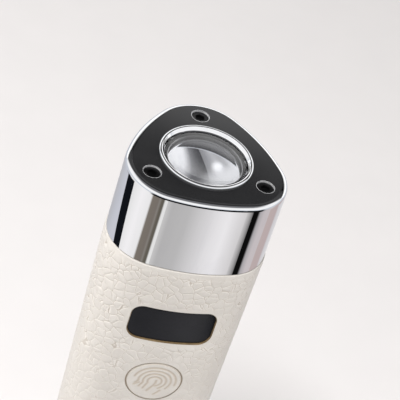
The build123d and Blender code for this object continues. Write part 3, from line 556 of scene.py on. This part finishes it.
def lensColours(tree, direction):
    # a bright bowl with a crease, a spot, a pale foot and a dark arch over it
    view = lensView
    across = vectorNode(tree, "DOT_PRODUCT", direction, view["acrossAxis"])["Value"]
    along = vectorNode(tree, "DOT_PRODUCT", direction, view["alongAxis"])["Value"]
    ramp = addNode(tree, "ShaderNodeValToRGB", {"Fac": mathNode(tree, "ADD", across, 0.5 - view["crease"])})
    fillRamp(ramp.color_ramp, view["tones"])
    spot = distanceNode(tree, across, along, view["spot"])
    colour = mixColours(tree, falling(tree, spot, view["spotSpan"]), ramp.outputs["Color"], view["spotTone"])
    colour = mixColours(tree, rising(tree, along, view["lowSpan"]), colour, view["lowTone"])
    arch = distanceNode(tree, across, along, view["arch"])
    upper = mixColours(tree, rising(tree, arch, view["archFade"]), *view["archTones"])
    colour = mixColours(tree, rising(tree, arch, view["archSpan"]), colour, upper)
    line = falling(tree, gapNode(tree, arch, view["archLine"]), view["lineSpan"])
    return mixColours(tree, line, colour, view["lineTone"])


def buildWorld():
    world = bpy.data.worlds.new("studio")
    world.use_nodes = True
    tree = world.node_tree
    tree.nodes.clear()
    direction = tree.nodes.new("ShaderNodeTexCoord").outputs["Generated"]
    parts = addNode(tree, "ShaderNodeSeparateXYZ", {"Vector": direction}).outputs
    azimuth = mathNode(tree, "ARCTAN2", parts["Y"], parts["X"])
    turn = mathNode(tree, "MODULO", mathNode(tree, "MULTIPLY_ADD", azimuth, 0.5 / math.pi, 1.0), 1.0)
    elevation = product(tree, mathNode(tree, "ARCSINE", parts["Z"]), 180 / math.pi)
    ring = addNode(tree, "ShaderNodeValToRGB", {"Fac": turn})
    fillRamp(ring.color_ramp, studio["ring"])
    colour = ring.outputs["Color"]
    strip = studio["strip"]
    dark = falling(tree, gapNode(tree, turn, strip["middle"] / 360), strip["spread"])
    dark = product(tree, rising(tree, elevation, strip["low"]), dark)
    dark = product(tree, dark, falling(tree, elevation, strip["high"]))
    for layer in ("foot", "strip", "wall", "ceiling"):
        if layer == "strip":
            colour = mixColours(tree, dark, colour, strip["tone"])
        else:
            span, tone = studio[layer]
            colour = mixColours(tree, rising(tree, elevation, span), colour, tone)
    back = studio["behind"]
    dark = falling(tree, gapNode(tree, turn, back["middle"] / 360), back["spread"])
    dark = product(tree, dark, rising(tree, elevation, back["low"], back["share"]))
    colour = mixColours(tree, dark, colour, back["tone"])
    rays = tree.nodes.new("ShaderNodeLightPath").outputs
    colour = mixColours(tree, rays["Is Transmission Ray"], colour, lensColours(tree, direction))
    glossy = mathNode(tree, "MAXIMUM", rays["Is Glossy Ray"], rays["Is Transmission Ray"])
    ambient = [c * studio["ambient"] for c in (1.0, 0.99, 0.98)]
    colour = mixColours(tree, glossy, ambient, colour)
    colour = mixColours(tree, rays["Is Camera Ray"], colour, studio["backdrop"])
    background = addNode(tree, "ShaderNodeBackground", {"Color": colour, "Strength": 1.0})
    addNode(tree, "ShaderNodeOutputWorld", {"Surface": background.outputs[0]})
    bpy.context.scene.world = world


def buildFloor():
    deselectAll()
    bpy.ops.mesh.primitive_plane_add(size=6.0)
    floor = bpy.context.object
    floor.name = "studioFloor"
    makeActive(floor)
    bpy.ops.transform.translate(value=(0, 0, -0.2 * mm))
    bpy.ops.object.transform_apply(location=True, rotation=True, scale=True)
    tone = studio["floorTone"]
    material = grainedFinish("pale floor", tone, [0.97 * c for c in tone], (0.6, 0.75), patchScale=2.0,
                             grainScale=60.0, bump=0.01)
    floor.data.materials.append(material)
    floor.visible_glossy = False
    # clear from behind, so that the base can be seen from below
    tree = material.node_tree
    behind = addNode(tree, "ShaderNodeNewGeometry").outputs["Backfacing"]
    clear = addNode(tree, "ShaderNodeBsdfTransparent").outputs[0]
    solid = tree.nodes["Principled BSDF"].outputs[0]
    mix = addNode(tree, "ShaderNodeMixShader", {0: behind, 1: solid, 2: clear})
    fillSockets(tree, tree.nodes["Material Output"], {"Surface": mix.outputs[0]})


def addCard(name, corners, tone, strength, softEdge=None):
    # a card that only polished surfaces see
    deselectAll()
    bpy.ops.mesh.primitive_plane_add(size=1.0)
    card = bpy.context.object
    card.name = name
    # the plane's corners run left to right, then bottom to top
    setVertices(card, np.array([corners[0], corners[1], corners[3], corners[2]]))
    material = bpy.data.materials.new(name)
    material.use_nodes = True
    tree = material.node_tree
    tree.nodes.clear()
    if softEdge:
        height = heightOf(tree, tree.nodes.new("ShaderNodeTexCoord").outputs["Object"])
        strength = mapRange(tree, height, *softEdge, strength, 0.0)
    glow = addNode(tree, "ShaderNodeEmission", {"Color": tone, "Strength": strength})
    addNode(tree, "ShaderNodeOutputMaterial", {"Surface": glow.outputs[0]})
    card.data.materials.append(material)
    for kind in ("camera", "diffuse", "shadow", "transmission"):
        setattr(card, "visible_" + kind, False)


cards = {
    "dark": [(-0.1585, -0.032, 0), (-0.1640, 0.016, 0), (-0.1790, 0.154, 0), (-0.283, 0.109, 0)],
    "darkTone": (0.006, 0.007, 0.010),
    "glowAhead": (0.287, 0.958), "glowDistance": 0.07, "glowHalfWidth": 0.12,
    "glowHeights": (0.160, 0.212), "glowFade": (0.190, 0.210), "glowStrength": 1.15,
}


def buildCards():
    # a dark card on the table at the left, and a lit panel close behind the head
    addCard("darkCard", cards["dark"], cards["darkTone"], 1.0)
    x, y = cards["glowAhead"]
    middle = Vector((x, y, 0)) * cards["glowDistance"]
    side = Vector((y, -x, 0)) * cards["glowHalfWidth"]
    low, high = (Vector((0, 0, z)) for z in cards["glowHeights"])
    corners = [middle - side + low, middle + side + low, middle + side + high, middle - side + high]
    addCard("glowPanel", corners, (1.0, 1.0, 1.0), cards["glowStrength"], cards["glowFade"])


def addAreaLight(name, target, place, size, power, tone):
    data = bpy.data.lights.new(name, "AREA")
    data.shape = "RECTANGLE"
    data.size, data.size_y = size
    data.energy = power
    data.color = tone
    lamp = bpy.data.objects.new(name, data)
    lamp.location = place
    lamp.rotation_euler = (Vector(target) - Vector(place)).to_track_quat("-Z", "Y").to_euler()
    lamp.visible_glossy = False
    lamp.visible_transmission = False
    bpy.context.scene.collection.objects.link(lamp)


cameraView = {"azimuth": -16.69, "elevation": 38.29, "roll": 18.22, "distance": 0.49055,
              "slideX": 1.551 * mm, "slideY": 10.371 * mm, "lens": 180.27}


def buildCamera():
    # the camera stands in front and above, and leans to one side
    view = cameraView
    azimuth, elevation, roll = (math.radians(view[k]) for k in ("azimuth", "elevation", "roll"))
    back = Vector((math.sin(azimuth) * math.cos(elevation), -math.cos(azimuth) * math.cos(elevation),
                   math.sin(elevation)))
    side = Vector((math.cos(azimuth), math.sin(azimuth), 0))
    up = back.cross(side)
    right = side * math.cos(roll) + up * math.sin(roll)
    top = up * math.cos(roll) - side * math.sin(roll)
    data = bpy.data.cameras.new("camera")
    data.lens, data.sensor_width = view["lens"], 36.0
    data.clip_start, data.clip_end = 0.01, 20.0
    camera = bpy.data.objects.new("camera", data)
    place = Vector((0, 0, plateTop)) + back * view["distance"]
    place -= right * view["slideX"] + top * view["slideY"]
    camera.matrix_world = Matrix.Translation(place) @ Matrix((right, top, back)).transposed().to_4x4()
    bpy.context.scene.collection.objects.link(camera)
    bpy.context.scene.camera = camera


# the body's outline at the collar: three bowed sides and three round corners
body = {
    "sideRadius": 46.5 * mm, "cornerRadius": 12.8 * mm, "cornerCentre": 8.85 * mm, "taper": math.radians(1.0),
}
body["cornerToSide"] = body["sideRadius"] - body["cornerRadius"]
body["sideCentre"] = (math.sqrt(4 * body["cornerToSide"] ** 2 - 3 * body["cornerCentre"] ** 2)
                      - body["cornerCentre"]) / 2
body["sideHalfAngle"] = math.atan2(body["cornerCentre"] * math.cos(math.radians(30)),
                                   body["sideCentre"] + body["cornerCentre"] / 2)
sleeveInset = -0.25 * mm


def bodyArcs():
    # the outline's six arcs in order: centre, radius, middle direction and half angle of each
    arcs = []
    half = body["sideHalfAngle"]
    side = (body["sideCentre"], 90, body["sideRadius"], 270, half)
    corner = (body["cornerCentre"], 330, body["cornerRadius"], 330, math.radians(60) - half)
    for turn in (0, 120, 240):
        for reach, facing, radius, middle, spread in (side, corner):
            angle = math.radians(facing + turn)
            arcs.append((reach * math.cos(angle), reach * math.sin(angle), radius,
                         math.radians(middle + turn), spread))
    return arcs


def outlineTable(count):
    # evenly spaced stations round the body: centre, radius and direction of each
    arcs = bodyArcs()
    lengths = np.array([2 * radius * spread for _, _, radius, _, spread in arcs])
    ends = np.concatenate(([0], np.cumsum(lengths)))
    stations = (np.arange(count) / count * ends[-1] + ends[1] / 2) % ends[-1]
    table = []
    for station in stations:
        index = int(np.searchsorted(ends, station, side="right")) - 1
        x, y, radius, middle, spread = arcs[index]
        share = (station - ends[index]) / lengths[index]
        table.append((x, y, radius, middle + spread * (2 * share - 1)))
    return np.array(table)


def insetAt(x, y):
    # how far inside the collar's outline a point is
    best = np.full(np.shape(x), -1.0)
    for centreX, centreY, radius, middle, spread in bodyArcs():
        angle = np.arctan2(y - centreY, x - centreX) - middle
        angle = (angle + math.pi) % (2 * math.pi) - math.pi
        best = np.where(np.abs(angle) <= spread, radius - np.hypot(x - centreX, y - centreY), best)
    return best


def narrowing(z):
    return math.tan(body["taper"]) * (collarBottom - z)


def frontY(x, z, inset):
    radius = body["sideRadius"] - inset - narrowing(z)
    return body["sideCentre"] - np.sqrt(radius ** 2 - x ** 2)


def storeFloat(piece, name, values):
    layer = piece.data.attributes.new(name, "FLOAT", "POINT")
    layer.data.foreach_set("value", np.asarray(values, dtype=np.float32))


def vertexArray(piece):
    flat = np.zeros(len(piece.data.vertices) * 3)
    piece.data.vertices.foreach_get("co", flat)
    return flat.reshape(-1, 3)


def setVertices(piece, points):
    piece.data.vertices.foreach_set("co", np.ascontiguousarray(points).ravel())
    piece.data.update()


mergeGap = 0.001 * mm


def wrapGrid(name, points):
    # a flat grid rolled up both ways into a closed ring; points is rows x columns x 3
    rows, columns = points.shape[:2]
    deselectAll()
    bpy.ops.mesh.primitive_grid_add(x_subdivisions=columns, y_subdivisions=rows, size=1.0)
    piece = bpy.context.object
    piece.name = name
    grid = vertexArray(piece)
    column = np.rint((grid[:, 0] + 0.5) * columns).astype(int) % columns
    row = np.rint((grid[:, 1] + 0.5) * rows).astype(int) % rows
    setVertices(piece, points[row, column])
    editAll(piece)
    bpy.ops.mesh.remove_doubles(threshold=mergeGap)
    closeEdit()
    return piece


leatherShape = {
    "columns": 296, "rows": 272, "rollRows": 6, "wall": 0.9 * mm, "roll": 0.26 * mm, "openingGap": 0.1 * mm,
    "seamDepth": 0.16 * mm, "seamWidth": 0.35 * mm,
    # the grain fades out near an edge, and is calmer low on the handle
    "plainEdge": 0.3 * mm, "grainFade": 1.6 * mm, "endMargin": 0.2 * mm, "skinDepth": 0.05 * mm,
    "calmHeight": 88 * mm, "calmSpan": 24 * mm, "calmShare": 0.62,
    "frontFrom": -8 * mm,
}
windowHole = {
    "halfWidth": (windowHigh.x - windowLow.x) / 2, "halfHeight": (windowHigh.z - windowLow.z) / 2,
    "middle": (windowHigh.z + windowLow.z) / 2, "corner": 3.2 * mm,
}
buttonHole = {"halfWidth": 7.1 * mm, "halfHeight": 6.5 * mm, "gap": 0.4 * mm,
              "middle": (buttonHigh.z + buttonLow.z) / 2}


def windowDistance(x, z):
    # distance outside the window's rounded rectangle
    straightX = windowHole["halfWidth"] - windowHole["corner"]
    straightZ = windowHole["halfHeight"] - windowHole["corner"]
    beyondX = np.abs(x) - straightX
    beyondZ = np.abs(z - windowHole["middle"]) - straightZ
    outside = np.hypot(np.maximum(beyondX, 0), np.maximum(beyondZ, 0))
    return outside + np.minimum(np.maximum(beyondX, beyondZ), 0) - windowHole["corner"]


def buttonDistance(x, z):
    reach = np.hypot(x / buttonHole["halfWidth"], (z - buttonHole["middle"]) / buttonHole["halfHeight"])
    return (reach - 1) * (buttonHole["halfWidth"] + buttonHole["halfHeight"]) / 2


def windowPath(margin, count=200):
    # points of the rounded rectangle, grown by margin, evenly spaced
    corner = windowHole["corner"] + margin
    straightX = windowHole["halfWidth"] - windowHole["corner"]
    straightZ = windowHole["halfHeight"] - windowHole["corner"]
    path = []
    for quarter, (signX, signZ) in enumerate(((1, 1), (-1, 1), (-1, -1), (1, -1))):
        for angle in np.linspace(0, math.pi / 2, count // 8, endpoint=False):
            turned = angle + quarter * math.pi / 2
            path.append((signX * straightX + corner * math.cos(turned),
                         signZ * straightZ + corner * math.sin(turned)))
        # then the straight run to the next corner
        turned = (quarter + 1) * math.pi / 2
        bend = Vector((corner * math.cos(turned), corner * math.sin(turned)))
        begin = Vector((signX * straightX, signZ * straightZ)) + bend
        nextX, nextZ = ((-1, 1), (-1, -1), (1, -1), (1, 1))[quarter]
        end = Vector((nextX * straightX, nextZ * straightZ)) + bend
        for share in np.linspace(0, 1, count // 8, endpoint=False):
            path.append(tuple(begin.lerp(end, share)))
    path = np.array(path)
    path[:, 1] += windowHole["middle"]
    return path


def buttonPath(margin, count=200):
    angle = np.arange(count) / count * 2 * math.pi
    return np.stack([(buttonHole["halfWidth"] + margin) * np.cos(angle),
                     (buttonHole["halfHeight"] + margin) * np.sin(angle) + buttonHole["middle"]], axis=1)


# sections in mm: margin out from the opening, and depth under the sleeve's face
windowEdgeSection = [(0.16, 0.12), (0.02, 0.08), (-0.10, 0.18), (-0.14, 0.40), (-0.14, 0.585), (0.08, 0.585),
                     (0.16, 0.4)]
buttonGrooveSection = [(0.07, 0.16), (0.21, 0.22), (0.35, 0.14), (0.37, 0.6), (0.2, 0.7), (0.06, 0.6)]


def ringOnFront(name, pathAt, section):
    # a ring that follows an opening
    rows = []
    for margin, depth in section:
        x, z = pathAt(margin * mm).T
        rows.append(np.stack([x, frontY(x, z, sleeveInset + depth * mm), z], axis=1))
    piece = wrapGrid(name, np.array(rows))
    smooth(piece, 40)
    return piece


def roundSection(margin, depth, radius, count=14):
    angle = np.arange(count) / count * 2 * math.pi
    return [(margin + radius * math.cos(a), depth + radius * math.sin(a)) for a in angle]


def cutOpening(piece, path):
    # a prism through the front wall, taken away from the piece
    deselectAll()
    bpy.ops.mesh.primitive_circle_add(vertices=len(path), radius=1.0, fill_type="NGON")
    cutter = bpy.context.object
    setVertices(cutter, np.stack([path[:, 0], np.full(len(path), -30 * mm), path[:, 1]], axis=1))
    editAll(cutter)
    bpy.ops.mesh.extrude_region_move(TRANSFORM_OT_translate={"value": (0, 22 * mm, 0)})
    closeEdit()
    applyModifier(piece, "BOOLEAN", operation="DIFFERENCE", solver="EXACT", object=cutter)
    bpy.data.objects.remove(cutter)


def applyGrain(piece, depth, scale):
    group = bpy.data.node_groups.new("leatherRelief", "GeometryNodeTree")
    group.interface.new_socket("Geometry", in_out="INPUT", socket_type="NodeSocketGeometry")
    group.interface.new_socket("Geometry", in_out="OUTPUT", socket_type="NodeSocketGeometry")
    start, end = group.nodes.new("NodeGroupInput"), group.nodes.new("NodeGroupOutput")
    position = group.nodes.new("GeometryNodeInputPosition").outputs[0]
    height = pebbleHeight(group, position, scale, pebbleGrain["meshSlope"])[0]
    mask = addNode(group, "GeometryNodeInputNamedAttribute", {"Name": "grainMask"},
                   data_type="FLOAT").outputs["Attribute"]
    normal = group.nodes.new("GeometryNodeInputNormal").outputs[0]
    offset = vectorNode(group, "SCALE", normal, product(group, product(group, height, mask), depth))[0]
    moved = addNode(group, "GeometryNodeSetPosition", {"Geometry": start.outputs[0], "Offset": offset})
    group.links.new(moved.outputs[0], end.inputs[0])
    applyModifier(piece, "NODES", node_group=group)


def buildLeather():
    shape = leatherShape
    centreX, centreY, radius, direction = outlineTable(shape["columns"]).T
    low, high, roll = sleeveLow.z, sleeveHigh.z, shape["roll"]
    bend = np.linspace(0, math.pi / 2, shape["rollRows"])
    profile = [(low + roll - roll * math.cos(a), roll - roll * math.sin(a)) for a in bend]
    profile += [(z, 0.0) for z in np.linspace(low + roll, high - roll, shape["rows"])[1:-1]]
    profile += [(high - roll + roll * math.cos(a), roll - roll * math.sin(a)) for a in bend[::-1]]
    profile += [(z, shape["wall"]) for z in (high, (low + high) / 2, low)]
    rows = []
    for z, depth in profile:
        reach = radius - (sleeveInset + depth + narrowing(z))
        rows.append(np.stack([centreX + reach * np.cos(direction), centreY + reach * np.sin(direction),
                              np.full(len(radius), z)], axis=1))
    sleeve = wrapGrid("leatherSleeve", np.array(rows))
    cutOpening(sleeve, windowPath(shape["openingGap"]))
    cutOpening(sleeve, buttonPath(buttonHole["gap"]))
    points = vertexArray(sleeve)
    x, y, z = points.T
    depth = insetAt(x, y) - sleeveInset - narrowing(z)
    onSkin = np.abs(depth) < shape["skinDepth"]
    opening = np.minimum(windowDistance(x, z), buttonDistance(x, z) - buttonHole["gap"])
    nearest = np.where(y < shape["frontFrom"], opening, 1.0)
    nearest = np.minimum(nearest, np.minimum(high - z, z - low) - shape["endMargin"])
    mask = np.clip((nearest - shape["plainEdge"]) / shape["grainFade"], 0, 1) * onSkin
    above = np.clip((z - shape["calmHeight"]) / shape["calmSpan"], 0, 1)
    mask = mask * (shape["calmShare"] + (1 - shape["calmShare"]) * above)
    # butt seam down the back corner
    seam = np.clip(1 - np.abs(x) / shape["seamWidth"], 0, 1) * (y > 0) * onSkin
    seam = seam * seam * (3 - 2 * seam)
    points[:, 1] -= seam * shape["seamDepth"]
    setVertices(sleeve, points)
    storeFloat(sleeve, "grainMask", mask * (1 - seam))
    applyGrain(sleeve, leatherLook["relief"], leatherLook["cellScale"])
    smooth(sleeve, 38)
    finishPiece(sleeve, "leatherSleeve", "housing", ivoryLeather, ["leather_sleeve"])


def buildEdges():
    # rolled lips and cut edges of the two openings in the sleeve
    pieces = (
        ("windowLip", windowPath, roundSection(0.40, 0.23, 0.27), smoothLeather),
        ("windowCutEdge", windowPath, windowEdgeSection, cutEdge),
        ("buttonGroove", buttonPath, buttonGrooveSection, grooveShadeBeige),
        ("buttonLip", buttonPath, roundSection(0.62, 0.2, 0.22), smoothLeather),
    )
    for name, path, section, material in pieces:
        finishPiece(ringOnFront(name, path, section), name, "housing", material)


buttonShape = {
    "cells": 132, "clear": 0.02 * mm, "proud": 0.14 * mm, "edgeRound": 0.22 * mm, "skirt": 0.3 * mm,
    "lineWidth": 0.52 * mm, "lineDepth": 0.11 * mm, "grain": 0.3,
    # the mark, in mm about the button's middle: nested arches, then the short strokes
    "arches": ((5.35, -12, 168, 0.0), (4.1, -38, 186, 0.9), (2.9, -62, 196, 1.6), (1.75, -80, 205, 2.2)),
    "strokes": (((0.55, 0.5), (0.5, -0.4), (0.1, -1.4), (-0.6, -2.6), (-1.2, -3.5)),
                ((2.2, -3.0), (1.6, -3.9), (0.9, -4.6)), ((-4.9, -1.9), (-4.2, -1.3), (-3.7, -0.9))),
}


def fingerLines():
    # each arch has its own reach, ends and tail
    lines = []
    for reach, begin, finish, tail in buttonShape["arches"]:
        angles = np.radians(np.linspace(begin, finish, 40))
        arch = np.stack([reach * np.cos(angles) * 1.04, reach * 0.92 * np.sin(angles)], axis=1)
        if tail:
            steps = np.linspace(0, 1, 8)[1:, None]
            arch = np.concatenate([arch, arch[-1] + steps * np.array([-0.45 - 0.2 * tail, -tail])])
        lines.append(arch + np.array([0.15, 0.1]))
    return lines + [np.array(stroke) for stroke in buttonShape["strokes"]]


def grooveMask(u, v, lines, width):
    nearest = np.full(u.shape, 1.0)
    for line in lines:
        for begin, end in zip(line[:-1] * mm, line[1:] * mm):
            run = end - begin
            offU, offV = u - begin[0], v - begin[1]
            share = np.clip((offU * run[0] + offV * run[1]) / (run @ run), 0, 1)
            nearest = np.minimum(nearest, np.hypot(offU - share * run[0], offV - share * run[1]))
    inside = np.clip(1 - nearest / width, 0, 1)
    return inside * inside * (3 - 2 * inside)


def buildButton():
    # leather skin of the power button, with the mark pressed into it
    shape = buttonShape
    deselectAll()
    bpy.ops.mesh.primitive_grid_add(x_subdivisions=shape["cells"], y_subdivisions=shape["cells"], size=2.0)
    skin = bpy.context.object
    a, b = vertexArray(skin)[:, :2].T
    # square grid pulled to an oval
    u = a * np.sqrt(1 - b * b / 2) * (buttonHole["halfWidth"] - shape["clear"])
    v = b * np.sqrt(1 - a * a / 2) * (buttonHole["halfHeight"] - shape["clear"])
    z = v + buttonHole["middle"]
    mask = grooveMask(u, v, fingerLines(), shape["lineWidth"])
    rounded = np.clip(1 + buttonDistance(u, z) / shape["edgeRound"], 0, 1)
    fall = shape["edgeRound"] * (1 - np.sqrt(1 - rounded ** 2 + 1e-9))
    inset = sleeveInset - shape["proud"] + mask * shape["lineDepth"] + fall
    setVertices(skin, np.stack([u, frontY(u, z, inset), z], axis=1))
    # where the pressed mark and the falling edge get painted shade
    storeFloat(skin, "pressedShade", np.maximum(mask, rounded))
    storeFloat(skin, "grainMask", np.full(len(u), shape["grain"]))
    editAll(skin)
    bpy.ops.mesh.normals_make_consistent(inside=False)
    bpy.ops.mesh.select_all(action="DESELECT")
    bpy.ops.mesh.select_mode(type="EDGE")
    bpy.ops.mesh.select_non_manifold(extend=False, use_boundary=True)
    bpy.ops.mesh.extrude_region_move(TRANSFORM_OT_translate={"value": (0, shape["skirt"], 0)})
    bpy.ops.mesh.edge_face_add()
    closeEdit()
    smooth(skin, 50)
    finishPiece(skin, "buttonSkin", "power_button", buttonLeather)


def spinProfile(name, profile, steps, centre=(0, 0, 0)):
    # a section turned round a vertical axis; profile is (radius, z) pairs
    deselectAll()
    bpy.ops.mesh.primitive_plane_add(size=1.0)
    piece = bpy.context.object
    piece.name = name
    editAll(piece)
    bpy.ops.mesh.delete(type="ONLY_FACE")
    bpy.ops.object.mode_set(mode="OBJECT")
    closed = profile[0] != profile[-1] and profile[0][0] > 0 and profile[-1][0] > 0
    section = bmesh.new()
    x, y, base = centre
    placed = [section.verts.new((radius + x, y, z + base)) for radius, z in profile]
    for first, second in zip(placed, placed[1:] + (placed[:1] if closed else [])):
        section.edges.new((first, second))
    section.to_mesh(piece.data)
    section.free()
    editAll(piece)
    bpy.ops.mesh.spin(steps=steps, angle=2 * math.pi, center=centre, axis=(0, 0, 1))
    bpy.ops.mesh.select_all(action="SELECT")
    bpy.ops.mesh.remove_doubles(threshold=mergeGap)
    closeEdit()
    return piece


screwRim = {"outer": 2.38 * mm, "inner": 2.24 * mm, "edge": 0.05 * mm, "proud": 0.012 * mm, "depth": 0.47 * mm,
            "circle": 16.4 * mm, "turns": 72}


def buildScrewRims():
    # turned edge of each screw hole in the face plate
    shape = screwRim
    outer, inner, edge, proud, depth = (shape[k] for k in ("outer", "inner", "edge", "proud", "depth"))
    profile = [(outer, 0.0), (outer - edge, proud), (inner + edge, proud * 0.6), (inner, -edge),
               (inner, -depth), (outer - edge, -depth)]
    rims = []
    for turn in (90, 210, 330):
        x, y = (shape["circle"] * f(math.radians(turn)) for f in (math.cos, math.sin))
        rims.append(spinProfile("screwRim", profile, shape["turns"], (x, y, plateTop)))
    deselectAll()
    for rim in rims:
        rim.select_set(True)
    bpy.context.view_layer.objects.active = rims[0]
    bpy.ops.object.join()
    smooth(rims[0], 40)
    finishPiece(rims[0], "screwRims", "housing", holeLiner)


def buildOptics():
    shape = optics
    radius, base, rim, apex = (shape[k] for k in ("lensRadius", "lensBase", "rimHeight", "apex"))
    edge, reach = shape["lensEdge"], shape["domeReach"]
    curve = (reach ** 2 + (apex - rim) ** 2) / (2 * (apex - rim))
    profile = [(0.0, base), (radius - edge, base), (radius, base + edge), (radius, rim - edge),
               (radius - 0.1 * mm, rim - 0.05 * mm)]
    for across in reach * (1 - np.linspace(0, 1, 40)):
        profile.append((across, apex - curve + math.sqrt(curve ** 2 - across ** 2)))
    lens = spinProfile("lensDome", profile, shape["turns"])
    smooth(lens, 30)
    finishPiece(lens, "lensDome", "housing", lensGlass, ["lens"])
    outer, dish, foot, bend = (shape[k] for k in ("reflectorRadius", "dishRadius", "wallFoot", "footRound"))
    low, mouth = shape["dishLow"], (shape["mouth"], shape["reflectorTop"])
    under = low - shape["reflectorFloor"]
    profile = [mouth, (outer, shape["reflectorTop"]), (outer, under), (0.0, under)]
    profile += [(dish * t, low + (foot - low) * t ** 2) for t in np.linspace(0, 1, 34)]
    profile += [(dish + bend * math.sin(a), foot + bend * (1 - math.cos(a)))
                for a in np.linspace(0, math.pi / 2, 8)[1:]]
    bowl = spinProfile("reflectorBowl", profile + [mouth], shape["turns"])
    smooth(bowl, 40)
    finishPiece(bowl, "reflectorBowl", "housing", bowlFinish, ["reflector"])


buildLeather()
buildEdges()
print("leather sleeve and opening edges modelled")
buildOptics()
print("lens and reflector modelled")
buildButton()
print("button skin modelled")
buildScrewRims()
print("screw hole rims modelled")

buildWorld()
buildFloor()
buildCards()
for name, values in studio["lights"].items():
    addAreaLight(name, (0, 0, plateTop - 30 * mm), *values)
buildCamera()
bpy.context.scene.view_settings.view_transform = "Standard"
print("studio and camera set")
